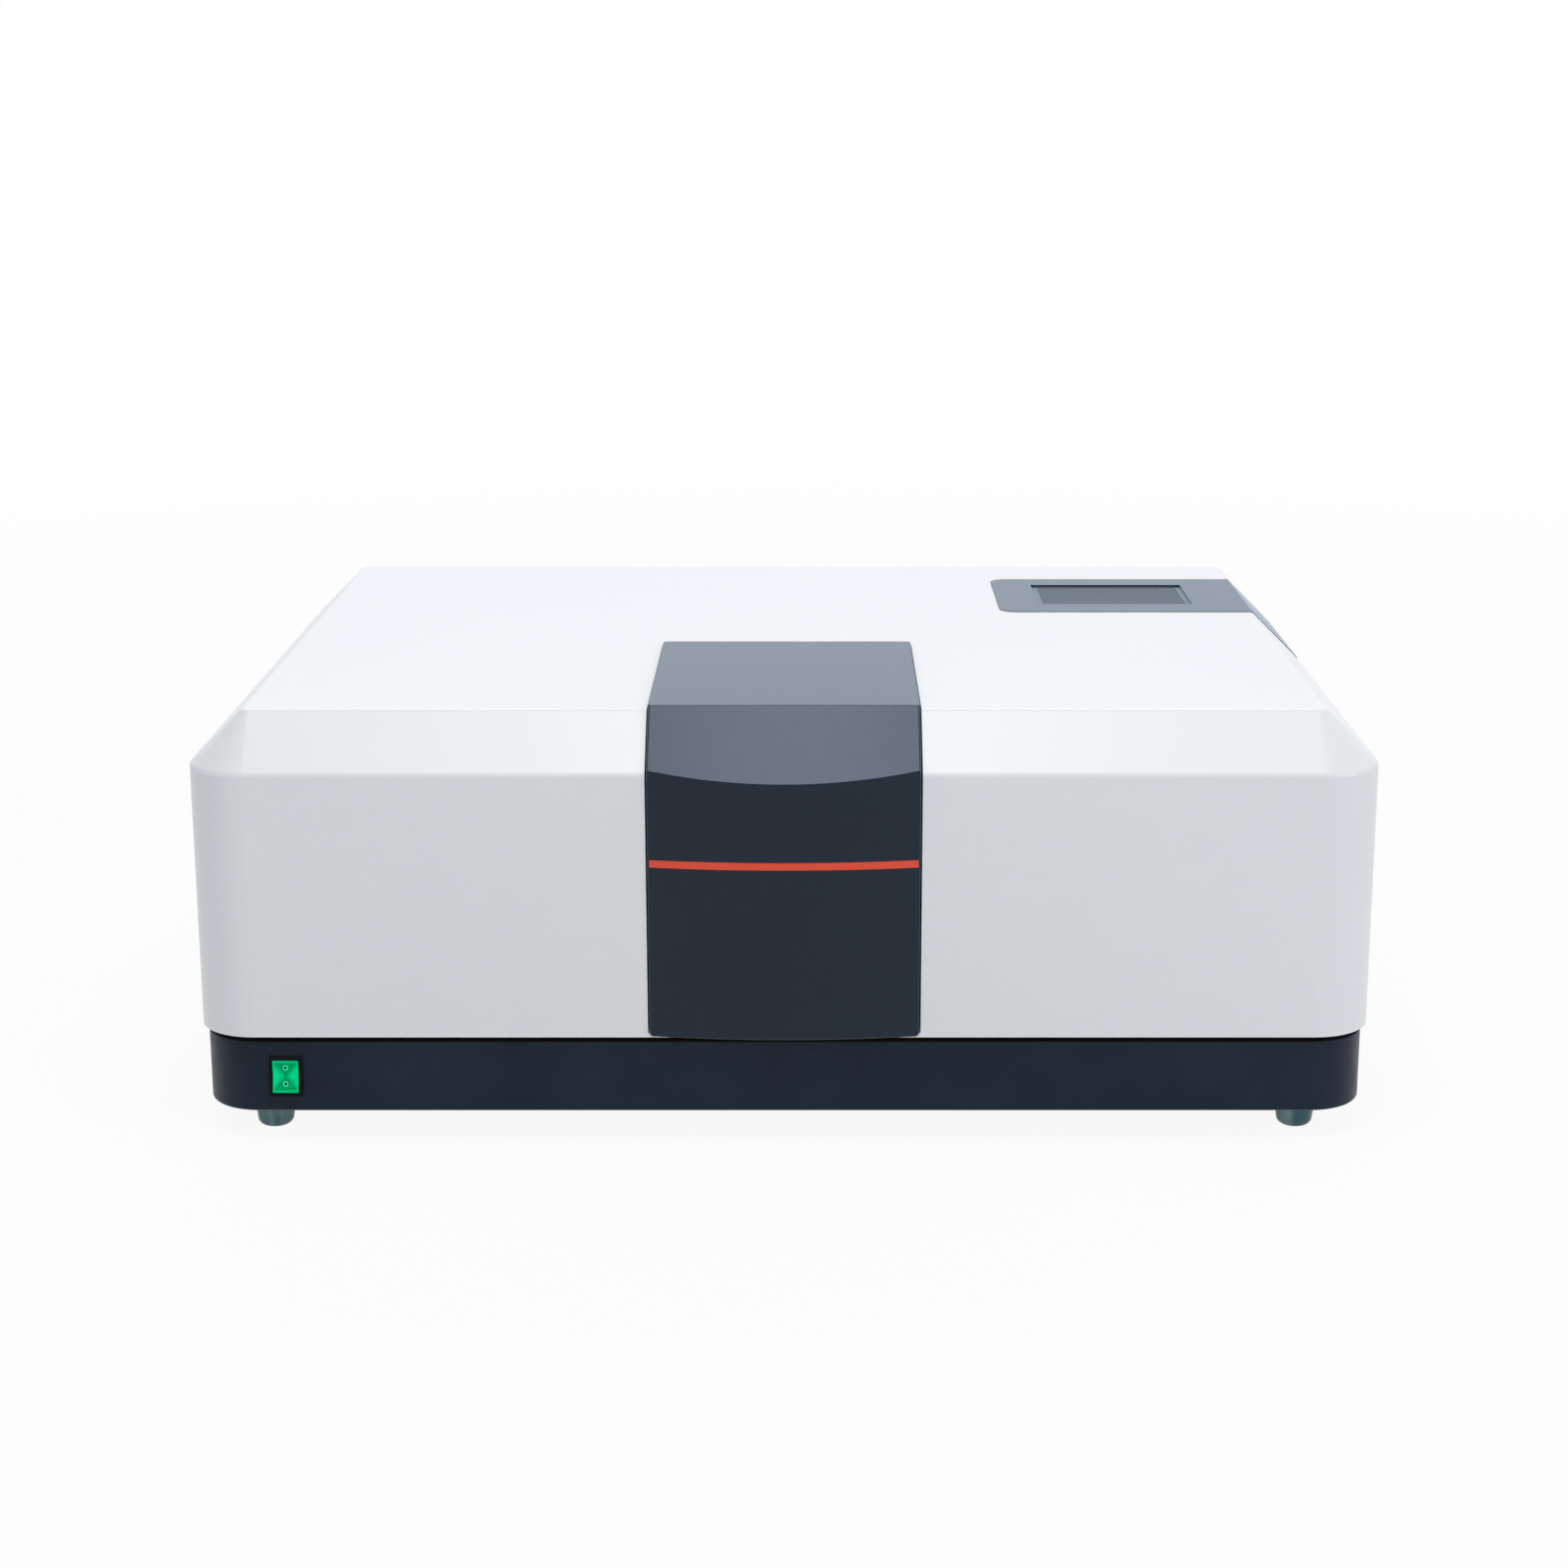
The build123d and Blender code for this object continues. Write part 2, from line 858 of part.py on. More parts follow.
# Hinge brackets: each has a foot on the tub's rear rim and two ears either side of the lid's lug
rim_top = case_top - rim_depth
with BuildPart() as lid_hinge_brackets:
    for x in hinge_places():
        for side in (-1, 1):
            near = x + side * (lug_w / 2 + ear_gap)
            with BuildSketch(side_plane(near)) as ear:
                with BuildLine():
                    Polyline(
                        (hinge_y - hinge_eye_r - hinge_column_d, rim_top),
                        (hinge_y - hinge_eye_r, rim_top),
                        (hinge_y - hinge_eye_r, hinge_z - hinge_eye_r),
                        (hinge_y, hinge_z - hinge_eye_r),
                        (hinge_y, hinge_z + hinge_eye_r),
                        (hinge_y - hinge_eye_r, hinge_z + hinge_eye_r),
                        (hinge_y - hinge_eye_r - hinge_column_d, hinge_z - hinge_eye_r),
                        close=True,
                    )
                make_face()
                with Locations((hinge_y, hinge_z)):
                    Circle(hinge_eye_r)
                    Circle(hinge_pin_r, mode=Mode.SUBTRACT)
            extrude(ear.sketch, amount=side * ear_t)
        foot_half = lug_w / 2 + ear_gap + ear_t
        extrude(
            block_face(
                x - foot_half,
                x + foot_half,
                hinge_y - hinge_eye_r - hinge_column_d,
                lid_back,
                rim_top,
            ),
            amount=hinge_foot_t,
        )
save("lid_hinge_brackets", lid_hinge_brackets)

# Hinge pins, held in the ears
with BuildPart() as lid_hinge_pins:
    for x in hinge_places():
        reach = lug_w / 2 + ear_gap + ear_t + hinge_pin_out
        with BuildSketch(side_plane(x - reach)) as pin:
            with Locations((hinge_y, hinge_z)):
                Circle(hinge_pin_r)
        extrude(pin.sketch, amount=2 * reach)
save("lid_hinge_pins", lid_hinge_pins)

# Changer end blocks: two plates on the tub floor that hold the guide rods and the screw's ends
changer_front = front + changer_front_in
changer_back = changer_front + changer_reach
with BuildPart() as changer_end_blocks:
    for y in (changer_front + end_block_t, changer_back):
        with BuildSketch(Plane.XZ.offset(-y)) as block:
            with BuildLine():
                Polyline(
                    (-end_block_w / 2, tub_floor_z),
                    (end_block_w / 2, tub_floor_z),
                    (end_block_w / 2, end_block_top),
                    (-end_block_w / 2, end_block_top),
                    close=True,
                )
            make_face()
            fillet(block.vertices().group_by(Axis.Y)[-1], end_block_r)
            with Locations((-rod_spread / 2, rod_z), (rod_spread / 2, rod_z)):
                Circle(rod_r, mode=Mode.SUBTRACT)
            with Locations((0, rod_z)):
                Circle(screw_r + running_fit, mode=Mode.SUBTRACT)
        extrude(block.sketch, amount=end_block_t)
save("changer_end_blocks", changer_end_blocks)

# Guide rods
with BuildPart() as guide_rods:
    with BuildSketch(Plane.XZ.offset(-changer_back)) as rods:
        with Locations((-rod_spread / 2, rod_z), (rod_spread / 2, rod_z)):
            Circle(rod_r)
    extrude(amount=changer_reach)
save("guide_rods", guide_rods)

# Lead screw: from the front block through the carriage's nut into the motor
with BuildPart() as changer_screw:
    with BuildSketch(Plane.XZ.offset(-(changer_back + screw_in_motor))) as screw:
        with Locations((0, rod_z)):
            Circle(screw_r)
    extrude(amount=changer_reach + screw_in_motor - screw_front_in)
save("changer_screw", changer_screw)

# Changer motor, bored for the screw's end, on the rear block
with BuildPart() as changer_motor:
    with BuildSketch(Plane.XZ.offset(-(changer_back + changer_motor_l))) as can:
        with Locations((0, rod_z)):
            Circle(changer_motor_r)
    extrude(amount=changer_motor_l)
    chamfer(changer_motor.edges().group_by(Axis.Y)[-1], 1)
    with BuildSketch(Plane.XZ.offset(-changer_back)) as bore:
        with Locations((0, rod_z)):
            Circle(screw_r + motor_fit)
    extrude(amount=-(screw_in_motor + motor_gap), mode=Mode.SUBTRACT)
save("changer_motor", changer_motor)

# Carriage: slides on the two rods, carries the cell block on a raised pad
carriage_mid = sample_beam + cell_pitch * (cell_places - 1) / 2
with BuildPart() as changer_carriage:
    extrude(
        block_face(
            -carriage_w / 2,
            carriage_w / 2,
            carriage_mid - carriage_l / 2,
            carriage_mid + carriage_l / 2,
            carriage_low,
            carriage_r,
        ),
        amount=carriage_top - carriage_low,
    )
    with BuildSketch(Plane.XZ.offset(-(carriage_mid + carriage_l / 2))) as bores:
        with Locations((-rod_spread / 2, rod_z), (rod_spread / 2, rod_z)):
            Circle(rod_r + running_fit)
        with Locations((0, rod_z)):
            Circle(screw_r + nut_fit)
    extrude(amount=carriage_l, mode=Mode.SUBTRACT)
    with BuildSketch(Plane.XZ.offset(-(carriage_mid + carriage_l / 2))) as reliefs:
        with Locations((-groove_spread / 2, carriage_top), (groove_spread / 2, carriage_top)):
            Rectangle(groove_w, groove_w)
    extrude(amount=carriage_l, mode=Mode.SUBTRACT)
save("changer_carriage", changer_carriage)


def cell_well_block(beam_ys, x_half, y0, y1, low, high):
    """A block with a square well for each cell and a light slot through it at beam height."""
    with BuildPart() as block:
        extrude(block_face(-x_half, x_half, y0, y1, low, cell_block_r), amount=high - low)
        side = cell_side + 2 * cell_fit
        for y in beam_ys:
            extrude(
                block_face(-side / 2, side / 2, y - side / 2, y + side / 2, low + cell_seat_h),
                amount=high,
                mode=Mode.SUBTRACT,
            )
        with BuildSketch(side_plane(-x_half)) as slots:
            with Locations(*[(y, beam_z) for y in beam_ys]):
                SlotCenterToCenter(beam_slot_l, beam_slot_w, rotation=90)
        extrude(slots.sketch, amount=2 * x_half, mode=Mode.SUBTRACT)
    return block.part


cell_ys = [sample_beam + i * cell_pitch for i in range(cell_places)]
block_high = carriage_top + cell_block_h

# Cell block: four wells in a row
with BuildPart() as cell_block:
    add(
        cell_well_block(
            cell_ys,
            cell_block_half,
            cell_ys[0] - cell_block_half,
            cell_ys[-1] + cell_block_half,
            carriage_top,
            block_high,
        )
    )
save("cell_block", cell_block)


# Reference holder: a single well on its own pedestal
with BuildPart() as reference_holder:
    add(
        cell_well_block(
            [reference_beam],
            cell_block_half,
            reference_beam - cell_block_half,
            reference_beam + cell_block_half,
            carriage_top,
            block_high,
        )
    )
    extrude(
        block_face(
            -cell_block_half - holder_foot_w,
            cell_block_half + holder_foot_w,
            reference_beam - cell_block_half,
            reference_beam + cell_block_half,
            tub_floor_z,
            holder_foot_r,
        ),
        amount=holder_foot_t,
    )
    extrude(
        block_face(
            -cell_block_half,
            cell_block_half,
            reference_beam - cell_block_half,
            reference_beam + cell_block_half,
            tub_floor_z,
            cell_block_r,
        ),
        amount=carriage_top - tub_floor_z,
    )
save("reference_holder", reference_holder)

# Optical bench: cast plate with ribs below it on six legs
bench_w = case_w - 2 * bench_in
bench_d = case_d - 2 * bench_in
rib_low = bench_top - bench_t - bench_rib_h
with BuildPart() as optical_bench:
    with BuildSketch(Plane.XY.offset(bench_top - bench_t)) as plate:
        RectangleRounded(bench_w, bench_d, bench_r)
    extrude(amount=bench_t)
    with BuildSketch(Plane.XY.offset(rib_low)) as ribs:
        with GridLocations(bench_w / 2 - leg_in, 0, 3, 1):
            Rectangle(bench_rib_t, bench_d - 2 * bench_rib_in)
        with GridLocations(0, bench_d / 2 - leg_in, 1, 3):
            Rectangle(bench_w - 2 * bench_rib_in, bench_rib_t)
    extrude(amount=bench_rib_h)
    with BuildSketch(Plane.XY.offset(tray_floor)) as legs:
        with GridLocations(bench_w / 2 - leg_in, bench_d - 2 * leg_in, 3, 2):
            Circle(leg_r)
    extrude(amount=bench_top - bench_t - tray_floor)
save("optical_bench", optical_bench)

# Vent panel: bent plate over the top, the bevel and the side, with a rim behind the hood
louvre_left = vent_left + louvre_in
louvre_right = louvre_left + louvre_w
louvre_front = vent_front + louvre_front_in
louvre_back = louvre_front + louvre_d
vent_plate = vent_prism(-vent_proud, hood_wall, 0)
vent_back_rim = vent_prism(hood_wall, hood_wall + vent_rim_t, vent_rim)
vent_rim_hole = vent_prism(hood_wall, hood_wall + 2 * vent_rim_t, -vent_rim)
with BuildPart() as vent_panel:
    add(vent_back_rim)
    add(vent_rim_hole, mode=Mode.SUBTRACT)
    add(vent_plate)
    extrude(
        block_face(louvre_left, louvre_right, louvre_front, louvre_back, case_top - through_cut / 2),
        amount=through_cut,
        mode=Mode.SUBTRACT,
    )
    with BuildSketch(side_plane(right - through_cut / 2)) as side_cuts:
        slot_z = vent_low + vent_drop / 2
        with Locations((vent_front + vent_long / 2, slot_z)):
            with GridLocations(0, slot_pitch, 1, side_slots):
                SlotOverall(slot_l, slot_w)
    extrude(amount=through_cut, mode=Mode.SUBTRACT)
save("vent_panel", vent_panel)

# Louvre insert: a frame with slanted blades, sunk a little below the vent panel
louvre_top = case_top + vent_proud - louvre_sink
blade_run = louvre_d - 2 * louvre_frame
blades = int(blade_run / louvre_pitch)
blade_rise = (louvre_blade_w * sin(radians(louvre_tilt)) + louvre_blade_t * cos(radians(louvre_tilt))) / 2
with BuildPart() as vent_louvre:
    with BuildSketch(Plane.XY.offset(louvre_top - louvre_h)) as surround:
        with Locations((louvre_left + louvre_w / 2, louvre_front + louvre_d / 2)):
            Rectangle(louvre_w, louvre_d)
            Rectangle(louvre_w - 2 * louvre_frame, blade_run, mode=Mode.SUBTRACT)
    extrude(amount=louvre_h)
    with BuildSketch(side_plane(louvre_left + louvre_frame / 2)) as blade_ends:
        with Locations((louvre_front + louvre_d / 2, louvre_top - blade_rise)):
            with GridLocations(louvre_pitch, 0, blades, 1):
                Rectangle(louvre_blade_w, louvre_blade_t, rotation=louvre_tilt)
    extrude(amount=louvre_w - louvre_frame)
save("vent_louvre", vent_louvre)

# Rocker switch: bezel with the body behind it, and the rocker turning in its window
bezel_face = front + tray_in
window_half_h = rocker_r + rocker_fit
window_half_w = rocker_w / 2 + rocker_side_fit
pivot_y = bezel_face + rocker_pivot_in
with BuildPart() as switch_bezel:
    with BuildSketch(Plane.XZ.offset(-bezel_face)) as bezel_plate:
        with Locations((switch_x, switch_z)):
            RectangleRounded(bezel_w, bezel_h, bezel_r)
    extrude(amount=bezel_t)
    chamfer(switch_bezel.faces().sort_by(Axis.Y)[0].edges(), bezel_chamfer)
    with BuildSketch(Plane.XZ.offset(-bezel_face)) as body_block:
        with Locations((switch_x, switch_z)):
            Rectangle(switch_body_w, switch_body_h)
    extrude(amount=-switch_body_d)
    with BuildSketch(Plane.XZ.offset(-(bezel_face + rocker_r))) as window:
        with Locations((switch_x, switch_z)):
            Rectangle(2 * window_half_w, 2 * window_half_h)
    extrude(amount=2 * rocker_r, mode=Mode.SUBTRACT)
    with BuildSketch(side_plane(switch_x - bezel_w)) as axle_hole:
        with Locations((pivot_y, switch_z)):
            Circle(rocker_axle_r + running_fit)
    extrude(amount=2 * bezel_w, mode=Mode.SUBTRACT)
save("switch_bezel", switch_bezel)

rest_tilt = rocker_throw / 2
with BuildPart() as rocker:
    tilted = Plane(
        origin=(switch_x - rocker_w / 2, pivot_y, switch_z),
        x_dir=(0, -cos(radians(rest_tilt)), sin(radians(rest_tilt))),
        z_dir=(-1, 0, 0),
    )
    reach = sqrt(rocker_r**2 - rocker_face**2)
    with BuildSketch(tilted) as rocker_profile:
        with BuildLine():
            ThreePointArc((rocker_face, reach), (0, rocker_r), (-rocker_face, reach))
            Polyline(
                (-rocker_face, reach),
                (-2 * rocker_face, reach / 2),
                (-2 * rocker_face, -reach / 2),
                (-rocker_face, -reach),
            )
            ThreePointArc((-rocker_face, -reach), (0, -rocker_r), (rocker_face, -reach))
            ThreePointArc((rocker_face, -reach), (rocker_face - rocker_dip, 0), (rocker_face, reach))
        make_face()
    extrude(amount=-rocker_w)
    with BuildSketch(side_plane(switch_x - rocker_w / 2 - rocker_axle_out)) as axle:
        with Locations((pivot_y, switch_z)):
            Circle(rocker_axle_r)
    extrude(amount=rocker_w + 2 * rocker_axle_out)
save("rocker", rocker)

# Rear panel: plate over the hood's back window, cut for the fan, the inlet and the data socket
with BuildPart() as rear_panel:
    with BuildSketch(back_plane(back)) as plate:
        with Locations((0, (panel_low + panel_high) / 2)):
            RectangleRounded(
                2 * (panel_half_w + panel_lap), panel_high - panel_low + 2 * panel_lap, panel_corner_r
            )
        with Locations((-fan_x, fan_z)):
            Circle(fan_bore_r, mode=Mode.SUBTRACT)
            with GridLocations(fan_hole_pitch, fan_hole_pitch, 2, 2):
                Circle(fan_hole_r, mode=Mode.SUBTRACT)
        with Locations((-inlet_x, inlet_z)):
            Rectangle(inlet_body_w + 2 * panel_fit, inlet_body_h + 2 * panel_fit, mode=Mode.SUBTRACT)
        with Locations((-socket_x, inlet_z)):
            Rectangle(socket_w + 2 * panel_fit, socket_h + 2 * panel_fit, mode=Mode.SUBTRACT)
        with Locations((0, fan_z)):
            with GridLocations(0, panel_slot_pitch, 1, panel_slots):
                SlotOverall(panel_slot_l, panel_slot_w, mode=Mode.SUBTRACT)
        with Locations(*panel_screw_places()):
            Circle(panel_screw_r, mode=Mode.SUBTRACT)
    extrude(amount=panel_t)
save("rear_panel", rear_panel)

# Fan: frame behind the rear panel, rotor in its bore, guard outside
fan_front = back - fan_d
with BuildPart() as fan_frame:
    with BuildSketch(back_plane(fan_front)) as square:
        with Locations((-fan_x, fan_z)):
            RectangleRounded(fan_size, fan_size, fan_corner_r)
            Circle(fan_bore_r, mode=Mode.SUBTRACT)
            with GridLocations(fan_hole_pitch, fan_hole_pitch, 2, 2):
                Circle(fan_hole_r, mode=Mode.SUBTRACT)
    extrude(amount=fan_d)
    with BuildSketch(back_plane(fan_front)) as hub_arms:
        with Locations((-fan_x, fan_z)):
            Circle(fan_hub_r)
            Rectangle(2 * (fan_bore_r + 1), fan_arm_w)
            Rectangle(fan_arm_w, 2 * (fan_bore_r + 1))
    extrude(amount=fan_arm_t)
    with BuildSketch(back_plane(fan_front)) as shaft:
        with Locations((-fan_x, fan_z)):
            Circle(shaft_r)
    extrude(amount=fan_shaft_l)
save("fan_frame", fan_frame)

rotor_low = fan_front + fan_arm_t + fan_hub_gap
blade_r = fan_bore_r - fan_tip_gap
with BuildPart() as fan_rotor:
    with BuildSketch(back_plane(rotor_low)) as hub:
        with Locations((-fan_x, fan_z)):
            Circle(fan_hub_r)
    extrude(amount=fan_rotor_d)
    with BuildSketch(back_plane(rotor_low)) as bore:
        with Locations((-fan_x, fan_z)):
            Circle(shaft_r + running_fit)
    extrude(amount=fan_rotor_d - 2, mode=Mode.SUBTRACT)
    for i in range(fan_blades):
        turn = 2 * pi * i / fan_blades
        blade_plane = Plane(
            origin=(
                fan_x + (fan_hub_r - 2) * cos(turn),
                rotor_low + fan_rotor_d / 2,
                fan_z + (fan_hub_r - 2) * sin(turn),
            ),
            x_dir=(-sin(turn), 0, cos(turn)),
            z_dir=(cos(turn), 0, sin(turn)),
        )
        with BuildSketch(blade_plane) as blade:
            Rectangle(fan_blade_chord, fan_blade_t, rotation=fan_blade_pitch)
        extrude(blade.sketch, amount=blade_r - fan_hub_r)
save("fan_rotor", fan_rotor)

ring_step = (fan_bore_r - guard_eye_r) / guard_rings
guard_arm = fan_hole_pitch / sqrt(2) - guard_foot_in
guard_y = back + panel_t + guard_off
with BuildPart() as fan_guard:
    with BuildSketch(back_plane(guard_y)) as wires:
        with Locations((-fan_x, fan_z)):
            for i in range(1, guard_rings + 1):
                Circle(guard_eye_r + i * ring_step)
                Circle(guard_eye_r + i * ring_step - guard_wire, mode=Mode.SUBTRACT)
            Circle(guard_eye_r)
            with PolarLocations(guard_arm / 2, 4, start_angle=45):
                Rectangle(guard_arm, guard_wire)
            with GridLocations(fan_hole_pitch, fan_hole_pitch, 2, 2):
                Circle(guard_foot_r)
                Circle(fan_hole_r, mode=Mode.SUBTRACT)
    extrude(amount=guard_wire)
    with BuildSketch(back_plane(back + panel_t)) as stand:
        with Locations((-fan_x, fan_z)):
            with GridLocations(fan_hole_pitch, fan_hole_pitch, 2, 2):
                Circle(guard_foot_r)
                Circle(fan_hole_r, mode=Mode.SUBTRACT)
    extrude(amount=guard_off)
save("fan_guard", fan_guard)

# Mains inlet: flanged body with a recess for the connector and a pocket for the fuse drawer
inlet_face = back + panel_t
recess_z = inlet_z - recess_drop
drawer_mid = inlet_z + drawer_z
fuse_y = inlet_face - fuse_in
with BuildPart() as mains_inlet:
    with BuildSketch(back_plane(inlet_face)) as flange:
        with Locations((-inlet_x, inlet_z)):
            RectangleRounded(inlet_w, inlet_h, inlet_r)
    extrude(amount=inlet_t)
    with BuildSketch(back_plane(inlet_face)) as body_block:
        with Locations((-inlet_x, inlet_z)):
            Rectangle(inlet_body_w, inlet_body_h)
    extrude(amount=-inlet_d)
    with BuildSketch(back_plane(inlet_face + inlet_t)) as recess:
        with BuildLine():
            Polyline(
                (-inlet_x - recess_half_w, recess_z - recess_half_h),
                (-inlet_x + recess_half_w, recess_z - recess_half_h),
                (-inlet_x + recess_half_w, recess_z + recess_half_h - recess_cut),
                (-inlet_x + recess_half_w - recess_cut, recess_z + recess_half_h),
                (-inlet_x - recess_half_w + recess_cut, recess_z + recess_half_h),
                (-inlet_x - recess_half_w, recess_z + recess_half_h - recess_cut),
                close=True,
            )
        make_face()
    extrude(amount=-recess_d, mode=Mode.SUBTRACT)
    with BuildSketch(back_plane(inlet_face + inlet_t)) as pocket:
        with Locations((-inlet_x, drawer_mid)):
            Rectangle(drawer_w + 2 * drawer_fit, drawer_h + 2 * drawer_fit)
    extrude(amount=-(drawer_d + drawer_end_gap), mode=Mode.SUBTRACT)
    with BuildSketch(back_plane(inlet_face + inlet_t - recess_d)) as pins:
        with Locations(
            (-inlet_x - pin_spread, recess_z - pin_drop),
            (-inlet_x + pin_spread, recess_z - pin_drop),
            (-inlet_x, recess_z + earth_pin_up),
        ):
            Rectangle(pin_w, pin_h)
    extrude(amount=pin_l)
save("mains_inlet", mains_inlet)

# Fuse drawer: slides straight out of its pocket
with BuildPart() as fuse_drawer:
    with BuildSketch(back_plane(inlet_face + inlet_t)) as front_face:
        with Locations((-inlet_x, drawer_mid)):
            Rectangle(drawer_w, drawer_h)
    extrude(amount=-drawer_d)
    with BuildSketch(back_plane(inlet_face + inlet_t)) as grip:
        with Locations((-inlet_x, drawer_mid + grip_up)):
            Rectangle(drawer_w - 2 * grip_in, grip_h)
    extrude(amount=grip_t)
    with BuildSketch(Plane.XY.offset(drawer_mid + drawer_h / 2)) as fuse_bed:
        with Locations((inlet_x, fuse_y)):
            Rectangle(fuse_l + 2 * fuse_fit, 2 * (fuse_r + fuse_fit))
    extrude(amount=-(drawer_h / 2 + fuse_r), mode=Mode.SUBTRACT)
save("fuse_drawer", fuse_drawer)

# Fuse: glass tube lying across the drawer's bed
with BuildPart() as fuse:
    with BuildSketch(side_plane(inlet_x - fuse_l / 2)) as tube:
        with Locations((fuse_y, drawer_mid)):
            Circle(fuse_r)
    extrude(amount=fuse_l)
save("fuse", fuse)

# Data socket: square metal shell round a tongue
with BuildPart() as data_socket:
    with BuildSketch(back_plane(inlet_face + socket_out)) as shell:
        with Locations((-socket_x, inlet_z)):
            Rectangle(socket_w, socket_h)
    extrude(amount=-socket_d)
    with BuildSketch(back_plane(inlet_face + socket_out)) as mouth:
        with Locations((-socket_x, inlet_z)):
            Rectangle(socket_w - 2 * socket_wall, socket_h - 2 * socket_wall)
    extrude(amount=-socket_mouth_d, mode=Mode.SUBTRACT)
    with BuildSketch(back_plane(inlet_face + socket_out - socket_mouth_d)) as tongue:
        with Locations((-socket_x, inlet_z)):
            Rectangle(tongue_w, tongue_h)
    extrude(amount=tongue_l)
save("data_socket", data_socket)

# Screws that hold the rear panel to the hood's back
with BuildPart() as panel_screws:
    with BuildSketch(back_plane(back + panel_t)) as heads:
        with Locations(*panel_screw_places()):
            Circle(panel_screw_head_r)
    extrude(amount=panel_screw_head_h)
    fillet(panel_screws.edges().group_by(Axis.Y)[-1], 1)
    with BuildSketch(back_plane(back - hood_wall)) as shanks:
        with Locations(*panel_screw_places()):
            Circle(panel_screw_r)
    extrude(amount=hood_wall + panel_t)
save("panel_screws", panel_screws)

# Lamp house: sheet-metal box, open above towards the vent, with a light port and cooling slots
house_y = back - lamp_house_back_in
house_left = lamp_house_x - lamp_house_w / 2
house_right = lamp_house_x + lamp_house_w / 2
house_front = house_y - lamp_house_d / 2
house_back = house_y + lamp_house_d / 2
house_floor = bench_top + lamp_house_wall
with BuildPart() as lamp_house:
    house_plan = block_face(house_left, house_right, house_front, house_back, bench_top, lamp_house_r)
    extrude(house_plan, amount=lamp_house_h)
    wall = lamp_house_wall
    extrude(
        block_face(
            house_left + wall,
            house_right - wall,
            house_front + wall,
            house_back - wall,
            house_floor,
            lamp_house_r - wall,
        ),
        amount=lamp_house_h,
        mode=Mode.SUBTRACT,
    )
    with BuildSketch(side_plane(house_left)) as light_port:
        with Locations((house_y, beam_z)):
            Circle(lamp_port_r)
    extrude(amount=wall, mode=Mode.SUBTRACT)
    with BuildSketch(back_plane(house_back)) as cooling:
        with Locations((-lamp_house_x, beam_z + house_slot_up)):
            with GridLocations(0, house_slot_pitch, 1, house_slots):
                SlotOverall(house_slot_l, house_slot_w)
    extrude(amount=-wall, mode=Mode.SUBTRACT)
save("lamp_house", lamp_house)

# Lamp sockets on the house floor, each with a cup for its lamp's base
deuterium_at = (lamp_house_x, house_back - lamp_wall_in)
halogen_at = (house_right - lamp_wall_in, house_y)
lamp_seat = house_floor + lamp_socket_h
with BuildPart() as lamp_sockets:
    with BuildSketch(Plane.XY.offset(house_floor)) as bodies:
        with Locations(deuterium_at, halogen_at):
            Circle(socket_r)
    extrude(amount=lamp_socket_h)
    fillet(lamp_sockets.edges().group_by(Axis.Z)[-1], lamp_socket_edge_r)
save("lamp_sockets", lamp_sockets)

# Deuterium lamp: glass cylinder with a domed top
with BuildPart() as deuterium_lamp:
    with BuildSketch(Plane.XY.offset(lamp_seat)) as base:
        with Locations(deuterium_at):
            Circle(lamp_r)
    extrude(amount=lamp_h)
    fillet(deuterium_lamp.edges().group_by(Axis.Z)[-1], lamp_dome_r)
save("deuterium_lamp", deuterium_lamp)

# Halogen lamp: small bulb on its base
with BuildPart() as halogen_lamp:
    with BuildSketch(Plane.XY.offset(lamp_seat)) as base:
        with Locations(halogen_at):
            Circle(bulb_r)
    extrude(amount=bulb_h)
    fillet(halogen_lamp.edges().group_by(Axis.Z)[-1], bulb_dome_r)
save("halogen_lamp", halogen_lamp)


def upright_plane(x, y, z, turn):
    """A plane standing on edge whose face looks along the given turn from +X, its x level and its y up."""
    facing = (cos(radians(turn)), sin(radians(turn)), 0)
    along = (-sin(radians(turn)), cos(radians(turn)), 0)
    return Plane(origin=(x, y, z), x_dir=along, z_dir=facing)


def turning_mirror(x, y, turn):
    """A flat mirror on a shaft: the mirror's middle is at beam height."""
    with BuildPart() as piece:
        with BuildSketch(upright_plane(x, y, beam_z, turn)) as plate:
            RectangleRounded(source_mirror_w, source_mirror_h, mirror_corner_r)
        extrude(plate.sketch, amount=mirror_t / 2, both=True)
        with BuildSketch(Plane.XY.offset(shaft_low)) as stem:
            with Locations((x, y)):
                Circle(shaft_r)
        extrude(stem.sketch, amount=beam_z - shaft_low)
    return piece.part


# Turning mirrors: one picks the lamp, one picks the detector
detector_left = tub_half + detector_out
detector_right = right - detector_side_in
detector_front = front + detector_front_in
detector_back = front + detector_back_in
detector_x = (detector_left + detector_right) / 2
detector_y = (sample_beam + reference_beam) / 2
mirror_low = beam_z - source_mirror_h / 2
motor_top = mirror_low - motor_gap
shaft_low = motor_top - shaft_in_motor
detector_floor = bench_top + detector_wall
with BuildPart() as source_mirror:
    add(turning_mirror(lamp_house_x, house_y, source_turn))
save("source_mirror", source_mirror)

with BuildPart() as detector_mirror:
    add(turning_mirror(detector_x, detector_y, detector_turn))
save("detector_mirror", detector_mirror)

